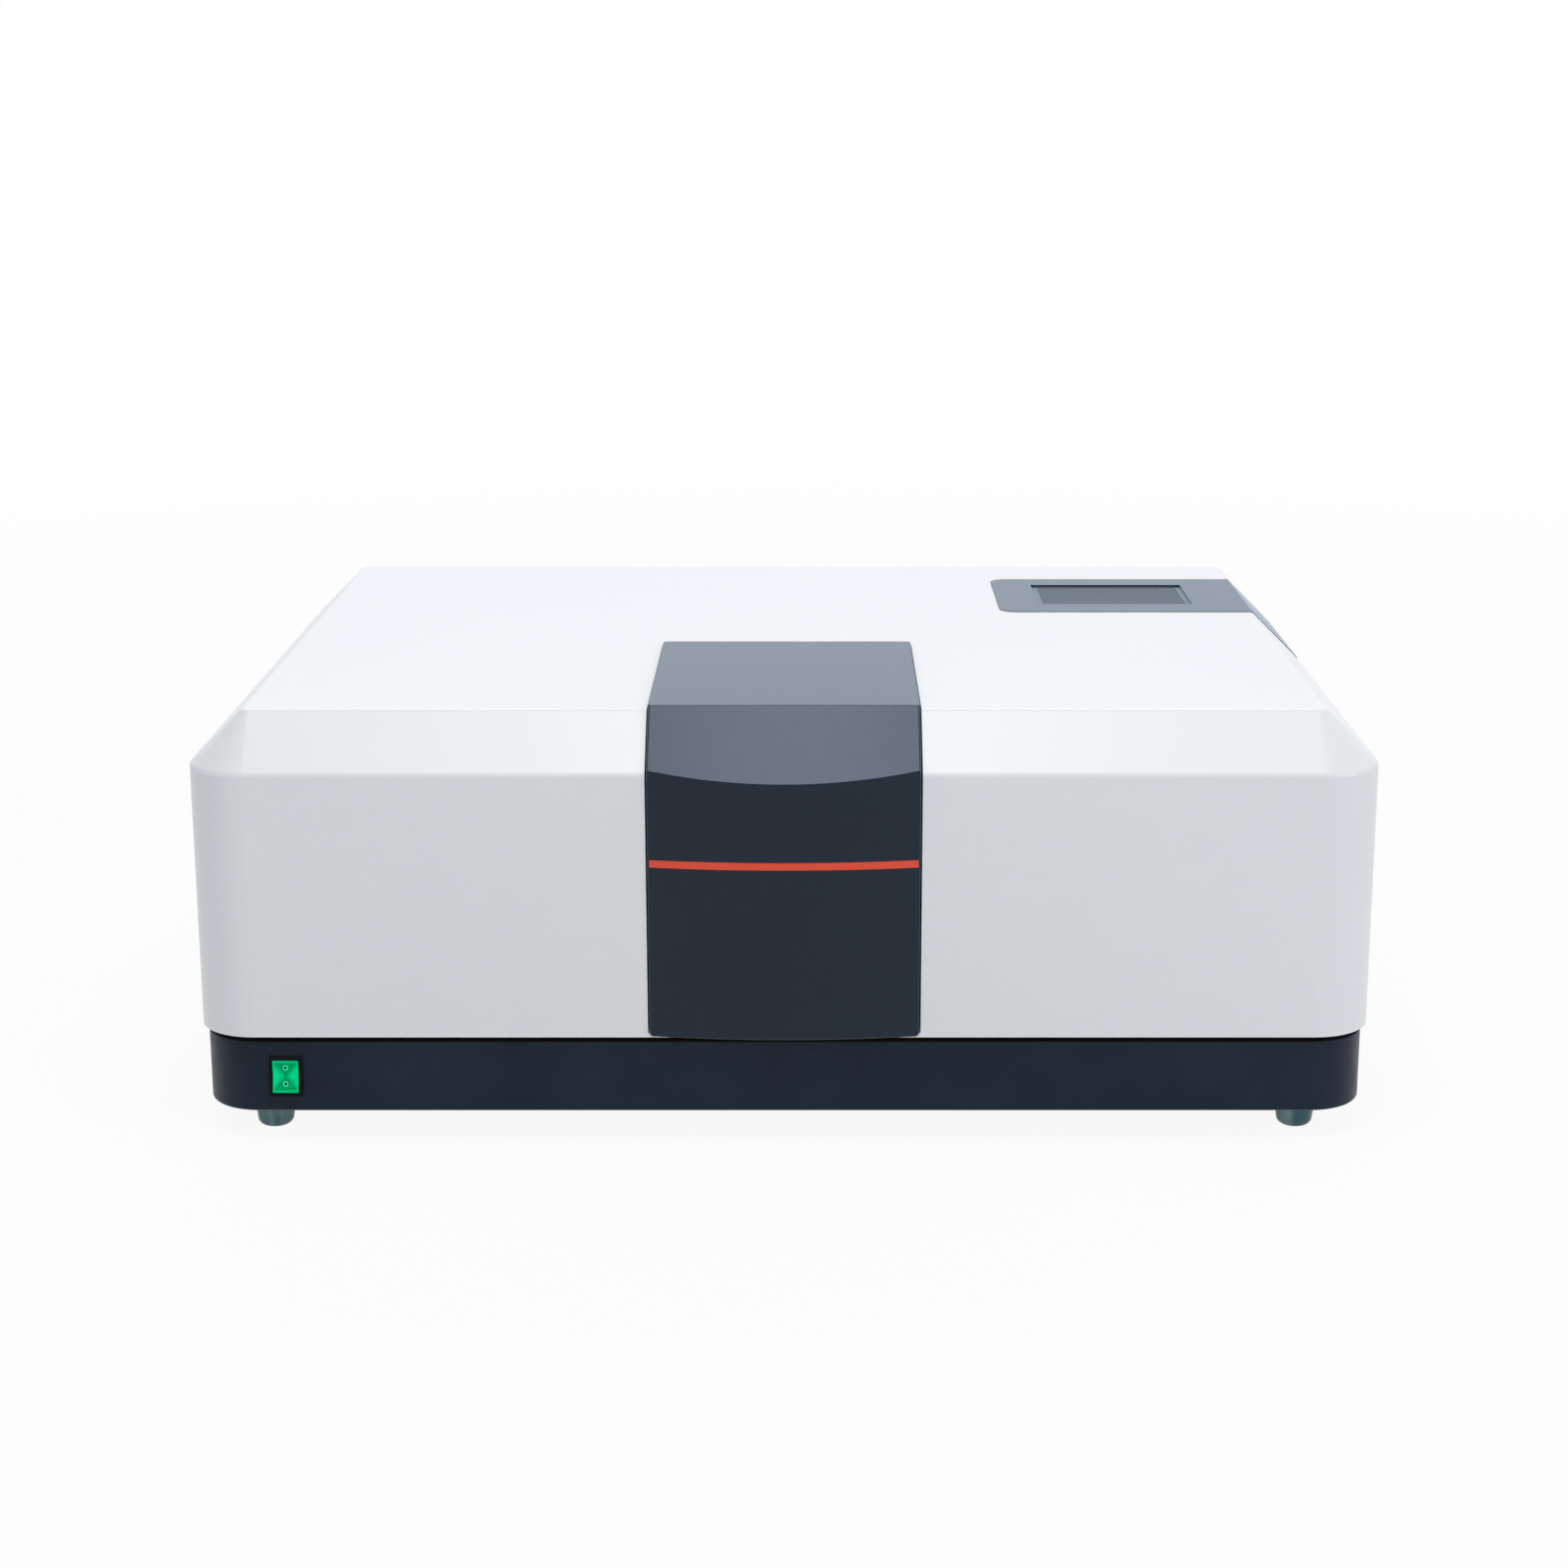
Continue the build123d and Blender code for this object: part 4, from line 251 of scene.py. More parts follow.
class Finish(Graph):
    """A procedural finish: one Principled shader with patterns on Object coordinates."""

    def __init__(self, name, color, roughness, **sockets):
        """A material from fixed values of the shader's sockets, which are named in small letters."""
        self.material = bpy.data.materials.new(name)
        super().__init__(self.material)
        self.shader = self.node("ShaderNodeBsdfPrincipled")
        output = self.node("ShaderNodeOutputMaterial")
        self.link(self.shader.outputs["BSDF"], output.inputs["Surface"])
        for socket, value in dict(base_color=color, roughness=roughness, **sockets).items():
            label = "IOR" if socket == "ior" else socket.replace("_", " ").title()
            self.shader.inputs[label].default_value = (*value, 1) if isinstance(value, tuple) else value
        self.place = self.node("ShaderNodeTexCoord")

    def stretched(self, scale, centre=(0, 0, 0)):
        """Object coordinates moved to a centre and scaled by axis."""
        mapping = self.node("ShaderNodeMapping")
        mapping.inputs["Location"].default_value = [-c * s for c, s in zip(centre, scale)]
        mapping.inputs["Scale"].default_value = scale
        self.link(self.place.outputs["Object"], mapping.inputs["Vector"])
        return mapping.outputs["Vector"]

    def noise(self, scale, detail=3, stretch=(1, 1, 1)):
        """Cloudy pattern between 0 and 1, with the given number of features per metre."""
        node = self.node("ShaderNodeTexNoise")
        node.inputs["Scale"].default_value = scale
        node.inputs["Detail"].default_value = detail
        self.link(self.stretched(stretch), node.inputs["Vector"])
        return node.outputs["Fac"]

    def cells(self, scale):
        """Pattern of packed cells: the distance to the nearest cell's middle."""
        node = self.node("ShaderNodeTexVoronoi")
        node.inputs["Scale"].default_value = scale
        self.link(self.place.outputs["Object"], node.inputs["Vector"])
        return node.outputs["Distance"]

    def waves(self, scale, axis, profile="SIN", distortion=0.0):
        """Parallel bands across one axis."""
        node = self.node("ShaderNodeTexWave")
        node.bands_direction = axis
        node.wave_profile = profile
        node.inputs["Scale"].default_value = scale
        node.inputs["Distortion"].default_value = distortion
        self.link(self.place.outputs["Object"], node.inputs["Vector"])
        return node.outputs["Fac"]

    def across_and_up(self, middle, half):
        """How far a point lies from the middle, sideways and in height, as shares of the two half sizes."""
        parts = self.node("ShaderNodeSeparateXYZ")
        self.link(self.stretched((1 / half[0], 1, 1 / half[1]), middle), parts.inputs[0])
        return self.maths("ABSOLUTE", parts.outputs["X"]), self.maths("ABSOLUTE", parts.outputs["Z"])

    def tone(self, pattern, other, amount, from_low=0.35, from_high=0.65):
        """The colour runs towards another one where the pattern is high, by the amount at most."""
        feed = self.shader.inputs["Base Color"]
        first = tuple(feed.default_value)[:3]
        self.link(self.blend_of(self.spread(pattern, 0, amount, from_low, from_high), first, other), feed)

    def gloss(self, pattern, low, high):
        """The roughness runs between two values with the pattern."""
        self.link(self.spread(pattern, low, high), self.shader.inputs["Roughness"])

    def relief(self, pattern, depth, strength):
        """The pattern stands up from the surface by a depth in metres."""
        bump = self.node("ShaderNodeBump")
        bump.inputs["Distance"].default_value = depth
        bump.inputs["Strength"].default_value = strength
        self.link(pattern, bump.inputs["Height"])
        self.link(bump.outputs["Normal"], self.shader.inputs["Normal"])


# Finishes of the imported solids

def white_moulding():
    """Satin white moulded shell: fine orange-peel grain, a faint cloud of tone and gloss."""
    finish = Finish("white_moulding", (0.875, 0.88, 0.885), 0.3, ior=1.45)
    finish.tone(finish.noise(5, 2), (0.86, 0.866, 0.874), 0.6)
    finish.gloss(finish.noise(260, 2), 0.29, 0.31)
    finish.relief(finish.noise(1400, 2), 0.00001, 0.1)
    return finish.material


def dark_coating():
    """Blue-black powder coat: close grain of tiny rounded cells."""
    finish = Finish("dark_coating", (0.004, 0.009, 0.018), 0.4, ior=1.4, specular_tint=(0.5, 0.6, 0.76))
    finish.tone(finish.noise(14, 4), (0.009, 0.016, 0.029), 0.8)
    finish.gloss(finish.noise(120), 0.37, 0.45)
    finish.relief(finish.cells(850), 0.00003, 0.25)
    return finish.material


def dark_moulding(name, bloom, shine):
    """Satin blue-black moulding of the lid and the vent, with its own tints of sheen and reflection."""
    sheen = dict(sheen_weight=0.6, sheen_roughness=0.45, sheen_tint=bloom)
    finish = Finish(name, (0.003, 0.007, 0.014), 0.34, ior=1.45, specular_tint=shine, **sheen)
    finish.tone(finish.noise(9), (0.004, 0.009, 0.017), 0.8)
    finish.gloss(finish.noise(300, 2), 0.23, 0.25)
    finish.relief(finish.noise(1600, 2), 0.000006, 0.1)
    return finish.material


def red_strip():
    """Satin orange-red plastic."""
    finish = Finish("red_strip", (0.9, 0.09, 0.04), 0.35, ior=1.36)
    finish.tone(finish.noise(30), (0.82, 0.08, 0.034), 0.7)
    finish.gloss(finish.noise(200), 0.3, 0.42)
    finish.relief(finish.noise(1500, 2), 0.00002, 0.3)
    return finish.material


def black_plastic():
    """Black nylon with a spark-eroded grain."""
    finish = Finish("black_plastic", (0.006, 0.007, 0.008), 0.45, ior=1.4, specular_tint=(0.62, 0.68, 0.76))
    finish.tone(finish.noise(60), (0.012, 0.013, 0.015), 0.8)
    finish.gloss(finish.noise(300), 0.38, 0.55)
    finish.relief(finish.noise(2200, 2), 0.00004, 0.5)
    return finish.material


def switch_black():
    """Close-grained black of the switch bezel."""
    finish = Finish("switch_black", (0.002, 0.0025, 0.003), 0.5, ior=1.2)
    finish.tone(finish.noise(200), (0.005, 0.006, 0.007), 0.8)
    finish.relief(finish.noise(2200, 2), 0.00003, 0.4)
    return finish.material


def black_foam():
    """Closed-cell foam and rubber strip."""
    finish = Finish("black_foam", (0.012, 0.012, 0.013), 0.9)
    pores = finish.cells(900)
    finish.tone(pores, (0.03, 0.03, 0.032), 0.7)
    finish.relief(pores, 0.0002, 0.8)
    return finish.material


def foot_rubber():
    """Glossy blue-green elastomer with upright pale streaks that are painted highlight."""
    finish = Finish("foot_rubber", (0.03, 0.15, 0.165), 0.16, ior=1.4)
    # Painted highlight: upright lighter streaks in the base colour stand for the shine down each foot.
    painted_highlight_streaks = finish.noise(80, 1.5, stretch=(1, 1, 0.15))
    finish.tone(painted_highlight_streaks, (0.3, 0.46, 0.5), 0.9, from_low=0.4, from_high=0.62)
    finish.gloss(finish.noise(150), 0.12, 0.2)
    finish.relief(finish.noise(700, 2), 0.00004, 0.3)
    return finish.material


def black_anodised():
    """Bead-blasted aluminium, anodised matt black."""
    finish = Finish("black_anodised", (0.02, 0.02, 0.022), 0.6)
    finish.tone(finish.noise(25, 4), (0.03, 0.03, 0.033), 0.8)
    finish.gloss(finish.noise(200), 0.5, 0.68)
    finish.relief(finish.noise(2600, 2), 0.00005, 0.5)
    return finish.material


def sand_casting():
    """Sand-cast aluminium with a rough skin."""
    finish = Finish("sand_casting", (0.42, 0.43, 0.45), 0.55, metallic=0.9)
    finish.tone(finish.noise(22, 5), (0.52, 0.53, 0.55), 0.8)
    finish.gloss(finish.noise(120, 4), 0.42, 0.66)
    finish.relief(finish.noise(700, 4), 0.0002, 0.5)
    return finish.material


def ground_steel():
    """Ground steel with fine lines across its depth."""
    finish = Finish("ground_steel", (0.56, 0.57, 0.58), 0.26, metallic=1.0)
    finish.tone(finish.noise(40), (0.5, 0.51, 0.53), 0.7)
    finish.gloss(finish.noise(250, 4, stretch=(1, 9, 1)), 0.18, 0.36)
    finish.relief(finish.noise(900, 3, stretch=(1, 9, 1)), 0.00003, 0.4)
    return finish.material


def zinc_sheet():
    """Pale zinc-plated sheet, faintly clouded."""
    finish = Finish("zinc_sheet", (0.54, 0.555, 0.57), 0.4, metallic=0.85)
    finish.tone(finish.noise(150, 5, stretch=(1, 1, 0.35)), (0.5, 0.515, 0.53), 0.6)
    finish.gloss(finish.noise(320, 4, stretch=(1, 1, 0.2)), 0.34, 0.44)
    finish.relief(finish.noise(900, 3, stretch=(1, 1, 0.15)), 0.00002, 0.3)
    return finish.material


def fused_silica():
    """Clear fused silica."""
    finish = Finish("fused_silica", (0.96, 0.98, 0.99), 0.04, transmission_weight=1.0, ior=1.46)
    finish.gloss(finish.noise(60), 0.02, 0.07)
    return finish.material


def front_mirror():
    """Aluminised front-surface mirror."""
    finish = Finish("front_mirror", (0.9, 0.91, 0.92), 0.04, metallic=1.0)
    finish.tone(finish.noise(60), (0.84, 0.86, 0.88), 0.6)
    finish.gloss(finish.noise(200), 0.02, 0.08)
    return finish.material


def ruled_grating():
    """Aluminised surface ruled with close upright lines."""
    finish = Finish("ruled_grating", (0.86, 0.87, 0.9), 0.12, metallic=1.0, anisotropic=0.7)
    finish.tone(finish.waves(60, "Z"), (0.66, 0.74, 0.88), 0.6)
    finish.relief(finish.waves(1600, "Y"), 0.00002, 0.5)
    return finish.material


def solder_mask():
    """Green solder mask over glass-fibre board, with faint tracks below it."""
    finish = Finish("solder_mask", (0.012, 0.13, 0.05), 0.25)
    tracks = finish.waves(90, "Y", "SAW", 2.0)
    finish.tone(tracks, (0.02, 0.2, 0.08), 0.8)
    finish.gloss(finish.noise(200), 0.2, 0.34)
    finish.relief(tracks, 0.00003, 0.5)
    return finish.material


def lit_rocker(middle):
    """Green translucent rocker lit from behind: brighter along its rim and in a lobe beside the marks."""
    shine = dict(ior=1.3, specular_tint=GREEN_SHINE)
    finish = Finish("lit_rocker", (0.0, 0.12, 0.05), 0.3, emission_strength=1.0, **shine)
    across, up = finish.across_and_up(middle + np.array((0, 0, LIT_UP)), LIT_HALF)
    reach = finish.maths("SMOOTH_MAX", across, up, LIT_ROUNDING)
    rim = finish.spread(reach, 0, 0.95, from_low=0.84, from_high=0.98)
    lobes = finish.spread(finish.maths("SUBTRACT", across, up), 0, 0.81, from_low=-0.05, from_high=0.42)
    cloudy = finish.spread(finish.noise(420), 0, 0.2)
    glow = finish.maths("MAXIMUM", rim, finish.maths("ADD", lobes, cloudy))
    green = finish.blend_of(glow, (0, 0.17, 0.045), (0, 0.56, 0.2))
    inside = finish.spread(reach, 1, 0, *LIT_EDGE)
    finish.link(finish.blend_of(inside, (0, 0, 0), green), finish.shader.inputs["Emission Color"])
    finish.tone(reach, (0, 0.008, 0.005), 1, *LIT_EDGE)
    finish.gloss(finish.noise(300), 0.22, 0.36)
    finish.relief(finish.noise(1200, 2), 0.00003, 0.4)
    return finish.material


# Finishes of the fine pieces

def pale_mark():
    """Pale green print, lit through from behind."""
    glow = dict(emission_color=(0.04, 0.9, 0.46), emission_strength=0.75)
    finish = Finish("pale_mark", (0.04, 0.5, 0.3), 0.4, ior=1.3, specular_tint=GREEN_SHINE, **glow)
    finish.tone(finish.noise(900, 2), (0.03, 0.42, 0.24), 0.7)
    return finish.material


def dark_mark():
    """Dark green print over the light."""
    finish = Finish("dark_mark", (0.0, 0.05, 0.03), 0.35, ior=1.3, specular_tint=GREEN_SHINE)
    finish.tone(finish.noise(900, 2), (0.0, 0.09, 0.05), 0.8)
    return finish.material


def bright_wire():
    """Nickel-plated steel, faintly clouded and grained."""
    finish = Finish("bright_wire", (0.62, 0.62, 0.61), 0.22, metallic=1.0)
    finish.tone(finish.noise(120), (0.5, 0.5, 0.5), 0.7)
    finish.gloss(finish.noise(500), 0.16, 0.34)
    finish.relief(finish.noise(1800, 2), 0.00002, 0.4)
    return finish.material


def painted_shadow_rubber():
    """Solid rubber, faintly dusty, near-black as painted shadow of the gap under the hood's edge."""
    # Painted shadow: the near-black base colour stands for the shaded gap between hood and tray; the dusty
    # tone is the rubber's own.
    finish = Finish("painted_shadow_rubber", (0.0006, 0.0007, 0.0009), 0.6, ior=1.12)
    finish.tone(finish.noise(240), (0.0022, 0.0024, 0.0028), 0.8)
    finish.relief(finish.noise(1400, 2), 0.00003, 0.4)
    return finish.material


# Which solid gets which finish: by its material slot, or its own

FINISHES = {
    "white_paint": white_moulding(),
    "dark_paint": dark_coating(),
    "dark_moulding": dark_moulding("dark_moulding", (0.62, 0.78, 1.0), (0.5, 0.6, 0.76)),
    "red_strip": red_strip(),
    "green_rocker": lit_rocker(node_middle("rocker")),
    "black_plastic": black_plastic(),
    "black_foam": black_foam(),
    "foot": foot_rubber(),
    "black_anodised": black_anodised(),
    "casting": sand_casting(),
    "steel": ground_steel(),
    "sheet": zinc_sheet(),
    "silica": fused_silica(),
    "mirror": front_mirror(),
    "board_green": solder_mask(),
    "fan_black": black_plastic(),
}
OWN_FINISH = {
    "vent_louvre": dark_moulding("louvre_moulding", (0.55, 0.8, 1.0), (0.43, 0.62, 0.87)),
    "uv_visible_grating": ruled_grating(),
    "near_infrared_grating": ruled_grating(),
    "switch_bezel": switch_black(),
}


def dress_solids():
    """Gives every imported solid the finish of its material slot, or its own."""
    for part in frame["record"]["subparts"]:
        finish = OWN_FINISH.get(part["node"], FINISHES[part["material_slot"]])
        for slot in frame["nodes"][part["node"]].material_slots:
            slot.material = finish


# Surfaces as arrays of points

def full_turn(steps):
    """Evenly spaced angles once round, without the first one again at the end."""
    return np.linspace(0, 2 * pi, steps, endpoint=False)


def points_of(x, y, z):
    """A grid of points from three coordinates, each of which may vary along one of the grid's sides only."""
    return np.stack(np.broadcast_arrays(x, y, z), -1)


def loop_faces(rings, points, wrap):
    """Quads between neighbouring rings of points. The last ring meets the first where wrap is set."""
    i = np.arange(rings if wrap else rings - 1)[:, None]
    j = np.arange(points)[None, :]
    after = (i + 1) % rings * points
    beside = (j + 1) % points
    return np.stack((i * points + j, i * points + beside, after + beside, after + j), -1).reshape(-1, 4)


def outward(vertices, quads, fans):
    """The same skin with its faces turned so that the enclosed volume counts as positive."""
    triangles = np.vstack((quads[:, [0, 1, 2]], quads[:, [0, 2, 3]], fans))
    a, b, c = (vertices[triangles[:, k]] for k in range(3))
    if np.einsum("ij,ij->", a, np.cross(b, c)) < 0:
        return vertices, quads[:, ::-1], fans[:, ::-1]
    return vertices, quads, fans


def closed_stack(rings):
    """A closed skin over a stack of rings: quads between them, fans of triangles over both end rings."""
    count, points = rings.shape[:2]
    middles = np.stack((rings[0].mean(0), rings[-1].mean(0)))
    j = np.arange(points)
    beside = (j + 1) % points
    near = np.stack((np.full(points, count * points), beside, j), -1)
    last = (count - 1) * points
    far = np.stack((np.full(points, count * points + 1), last + j, last + beside), -1)
    vertices = np.vstack((rings.reshape(-1, 3), middles))
    return outward(vertices, loop_faces(count, points, False), np.vstack((near, far)))


def closed_ring(rings):
    """A closed skin over rings that come back to the first one."""
    count, points = rings.shape[:2]
    return outward(rings.reshape(-1, 3), loop_faces(count, points, True), np.empty((0, 3), int))


def standing(local, origin, facing=TO_BACK, along=TO_RIGHT):
    """Local points carried to their place: their z runs along facing and their x along the last vector."""
    facing, along = np.array(facing, float), np.array(along, float)
    axes = np.stack((along, np.cross(facing, along), facing))
    return local @ axes + np.array(origin, float)


def lathe(profile, steps):
    """A profile of radius and height turned about z: x and y are the radius times cosine and sine."""
    turn = full_turn(steps)
    radius, height = np.array(profile, float).T[:, :, None]
    return points_of(radius * np.cos(turn), radius * np.sin(turn), height)


def wire(path, normal, radius, steps=10):
    """A round wire along a flat path: its radius times the cosine sideways plus the sine along the normal."""
    tangent = np.gradient(path, axis=0)
    tangent /= np.linalg.norm(tangent, axis=1, keepdims=True)
    side = np.cross(tangent, normal)[:, None]
    turn = full_turn(steps)[:, None]
    return path[:, None] + radius * (np.cos(turn) * side + np.sin(turn) * np.array(normal, float))


def round_wire(centre, ring_r, radius):
    """A wire ring in the back's plane: a circle of one radius swept round a circle of another."""
    a = full_turn(steps=72)[:, None]
    b = full_turn(steps=10)
    reach = ring_r + radius * np.cos(b)
    return centre + points_of(reach * np.cos(a), radius * np.sin(b), reach * np.sin(a))


def cross_head(origin, facing, turn, radius, tall):
    """A screw head: a dome that falls with the cube of the radius, less a cross whose arms fade out."""
    share = np.array(HEAD_RINGS)[:, None]
    angle = full_turn(steps=40)
    x = share * np.cos(angle)
    y = share * np.sin(angle)
    narrow = np.minimum(abs(x), abs(y))
    wide = np.maximum(abs(x), abs(y))
    across = np.clip((CROSS_HALF - narrow) / CROSS_SIDE_FADE, 0, 1)
    cross = across * np.clip((CROSS_REACH - wide) / CROSS_END_FADE, 0, 1)
    height = tall * (1 - HEAD_FALL * share**3) - CROSS_DEEP * tall * cross
    rim = lathe([(radius, HEAD_RIM * tall), (radius, 0)], steps=40)
    head = np.concatenate((points_of(radius * x, radius * y, height), rim))
    along = (cos(turn), 0, sin(turn)) if facing == TO_BACK else (cos(turn), sin(turn), 0)
    return closed_stack(standing(head, origin, facing, along))


def make_piece(name, skins, material, body, stands_for=()):
    """One object from closed skins: smooth shaded, with edges over the crease angle kept sharp."""
    vertices, faces, count = [], [], 0
    for points, quads, fans in skins:
        vertices.append(points)
        faces += (quads + count).tolist() + (fans + count).tolist()
        count += len(points)
    mesh = bpy.data.meshes.new(name)
    mesh.from_pydata(np.vstack(vertices).tolist(), [], faces)
    mesh.polygons.foreach_set("use_smooth", np.ones(len(faces), bool))
    mesh.set_sharp_from_angle(angle=CREASE)
    mesh.materials.append(material)
    piece = bpy.data.objects.new(name, mesh)
    bpy.context.scene.collection.objects.link(piece)
    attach(piece, body)
    if stands_for:
        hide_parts(*stands_for)


# Fine pieces

def rocker_marks():
    """Two ring marks on the rocker's dished face, which is a dip plus a parabola in height off the pivot."""
    bezel_low = node_box("switch_bezel")[0]
    middle = node_middle("rocker")
    pivot = np.array((middle[0], bezel_low[1] + BEZEL_OUT + ROCKER_PIVOT_IN, middle[2]))
    out = np.array((0, -cos(ROCKER_TILT), sin(ROCKER_TILT)))
    up = np.array((0, sin(ROCKER_TILT), cos(ROCKER_TILT)))

    def on_face(across, height, lift):
        """A point of the face: across, up, and out by the face's parabola plus the lift."""
        face = FACE_DIP + FACE_RISE * (height / FACE_HALF) ** 2 + lift
        return pivot + across[..., None] * TO_RIGHT + height[..., None] * up + face[..., None] * out

    a = full_turn(steps=40)[:, None]
    b = full_turn(steps=12)
    turn = full_turn(steps=32)
    radius = RING_R + RING_WIDE * np.cos(b)
    reach = RING_R * np.array(CENTRE_SHARES)[:, None]
    lift = np.array(CENTRE_LIFTS)[:, None]
    rings, centres = [], []
    for height in MARK_HEIGHTS:
        ring = on_face(radius * np.cos(a), height + radius * np.sin(a), RING_UP * np.sin(b))
        rings.append(closed_ring(ring))
        centres.append(closed_stack(on_face(reach * np.cos(turn), height + reach * np.sin(turn), lift)))
    make_piece("rocker_rings", rings, pale_mark(), "rocker")
    make_piece("rocker_ring_centres", centres, dark_mark(), "rocker")


def guard_of_wire():
    """Fan guard: wire rings, an arm out to each corner that ends in an eyelet, and a pressed middle."""
    low, high = node_box("fan_guard")
    middle = node_middle("fan_guard")
    centre = np.array((middle[0], high[1] - GUARD_WIRE, middle[2]))
    skins = [closed_ring(round_wire(centre, radius, GUARD_WIRE)) for radius in GUARD_RINGS]
    for side in (-1, 1):
        for up in (-1, 1):
            corner = FAN_HOLE * np.array((side, 0, up))
            arm = centre - (0, GUARD_WIRE, 0) + np.linspace(*GUARD_ARM, num=12)[:, None] * corner
            skins.append(closed_stack(wire(arm, TO_BACK, ARM_WIRE)))
            hole = (middle[0] + corner[0], low[1], middle[2] + corner[2])
            skins.append(closed_ring(standing(lathe(EYELET_OUTSIDE + EYELET_INSIDE, steps=28), hole)))
    boss = lathe(BOSS_TOP + BOSS_BELOW, steps=36)
    skins.append(closed_stack(standing(boss, (middle[0], low[1] + BOSS_UP, middle[2]))))
    make_piece("wire_guard", skins, bright_wire(), "chassis", ("fan_guard",))


def bladed_rotor():
    """Fan rotor: a cup-shaped hub and blades, each a thin lens section that untwists from root to tip."""
    low, high = node_box("fan_rotor")
    middle = node_middle("fan_frame")
    origin = (middle[0], low[1], middle[2])
    depth = high[1] - low[1]
    dish = depth - HUB_DISH
    cup = [(HUB_POLE_R, dish), (HUB_DISH_R, dish), (HUB_DISH_R + HUB_BEVEL, depth)]
    cup += [(HUB_R - HUB_BEVEL, depth), (HUB_R, depth - HUB_BEVEL), (HUB_R, HUB_EDGE), (HUB_R - HUB_EDGE, 0)]
    cup += [(BORE_R + HUB_EDGE, 0), (BORE_R, HUB_EDGE)]
    cup += [(BORE_R, depth - BORE_END), (BORE_POLE_R, depth - BORE_END)]
    skins = [closed_stack(standing(lathe(cup, steps=48), origin))]

    share = np.linspace(0, 1, num=12)[:, None]
    turn = full_turn(steps=28)
    root_r = HUB_R - BLADE_SUNK
    radius = root_r + share * (BLADE_TIP_R - root_r)
    ends = (BLADE_CHORD, BLADE_PITCH, BLADE_THICK)
    chord, pitch, thick = (root + (tip - root) * share for root, tip in ends)
    along = 0.5 * chord * np.cos(turn)
    camber = BLADE_CAMBER * chord * (0.5 - np.cos(turn) ** 2)
    across = thick * np.sin(turn) * (1 - BLADE_TAPER * np.cos(turn) ** 2) + camber
    tangent = along * np.cos(pitch) - across * np.sin(pitch)
    axial = depth / 2 + along * np.sin(pitch) + across * np.cos(pitch)
    height = np.clip(axial, BLADE_GAP, depth - BLADE_GAP)
    for blade in range(BLADES):
        angle = 2 * pi * blade / BLADES + tangent / radius + BLADE_SWEEP * share
        local = points_of(radius * np.cos(angle), radius * np.sin(angle), height)
        skins.append(closed_stack(standing(local, origin)))
    make_piece("bladed_rotor", skins, FINISHES["fan_black"], "fan", ("fan_rotor",))


def threaded_screw():
    """Lead screw: the radius is a clipped cosine of the phase, which is the length in leads less the turn."""
    low, high = node_box("changer_screw")
    middle = (low + high) / 2
    crest = (high[0] - low[0]) / 2
    root = crest - THREAD_DEEP
    y = np.linspace(low[1], high[1], num=780)[:, None]
    turn = full_turn(steps=28)
    phase = SCREW_STARTS * ((y - low[1]) / SCREW_LEAD - turn / (2 * pi))
    wave = np.clip(0.5 + THREAD_STEEP * np.cos(2 * pi * phase), 0, 1)
    from_near = y - low[1]
    from_far = high[1] - y
    radius = np.where((from_near < PLAIN_NEAR) | (from_far < PLAIN_FAR), crest, root + THREAD_DEEP * wave)
    radius = np.where(np.minimum(from_near, from_far) < SCREW_EDGE, root, radius)
    rings = points_of(middle[0] + radius * np.cos(turn), y, middle[2] + radius * np.sin(turn))
    skin = closed_stack(rings)
    make_piece("threaded_screw", [skin], bright_wire(), "lead_screw", ("changer_screw",))


def panel_screw_heads():
    """Cross-head screws in two rows along the rear panel, where the plain ones stand."""
    low, high = node_box("panel_screws")
    radius, tall = PANEL_SCREW
    skins = []
    for x in np.linspace(low[0] + radius, high[0] - radius, PANEL_SCREWS_A_ROW):
        for row, z in enumerate((low[2] + radius, high[2] - radius)):
            seat = (x, high[1] - tall, z)
            skins.append(cross_head(seat, TO_BACK, PANEL_TURN * x + row, radius, tall))
            shank = lathe([(PANEL_SHANK_R, -PANEL_SHANK), (PANEL_SHANK_R, 0)], steps=16)
            skins.append(closed_stack(standing(shank, seat)))
    make_piece("panel_screw_heads", skins, bright_wire(), "chassis", ("panel_screws",))


def small_screws():
    """Cross-head screws of the fan, the changer's blocks and the reference holder, and under the tray."""
    fan = node_middle("fan_guard")
    fan_face = node_box("fan_guard")[1][1]
    blocks_low, blocks_high = node_box("changer_end_blocks")
    holder_low = node_box("reference_holder")[0]
    holder_y = node_middle("reference_holder")[1]
    tray_low, tray_high = node_box("base_tray")
    spots = []
    for side in (-1, 1):
        for up in (-1, 1):
            hole = (fan[0] + side * FAN_HOLE, fan_face, fan[2] + up * FAN_HOLE)
            spots.append((hole, TO_BACK, FAN_SCREW))
        for y in (blocks_low[1] + BLOCK_T / 2, blocks_high[1] - BLOCK_T / 2):
            spots.append(((side * BLOCK_SCREW_OUT, y, blocks_high[2]), UPWARD, BLOCK_SCREW))
        flange = (side * HOLDER_SCREW_OUT, holder_y, holder_low[2] + HOLDER_FLANGE)
        spots.append((flange, UPWARD, HOLDER_SCREW))
        for y in TRAY_SCREW_ROW:
            spots.append(((side * (tray_high[0] - TRAY_SCREW_IN), y, tray_low[2]), DOWNWARD, TRAY_SCREW))
    skins = [cross_head(at, facing, SCREW_TURN * n, *size) for n, (at, facing, size) in enumerate(spots)]
    make_piece("small_screws", skins, bright_wire(), "chassis")


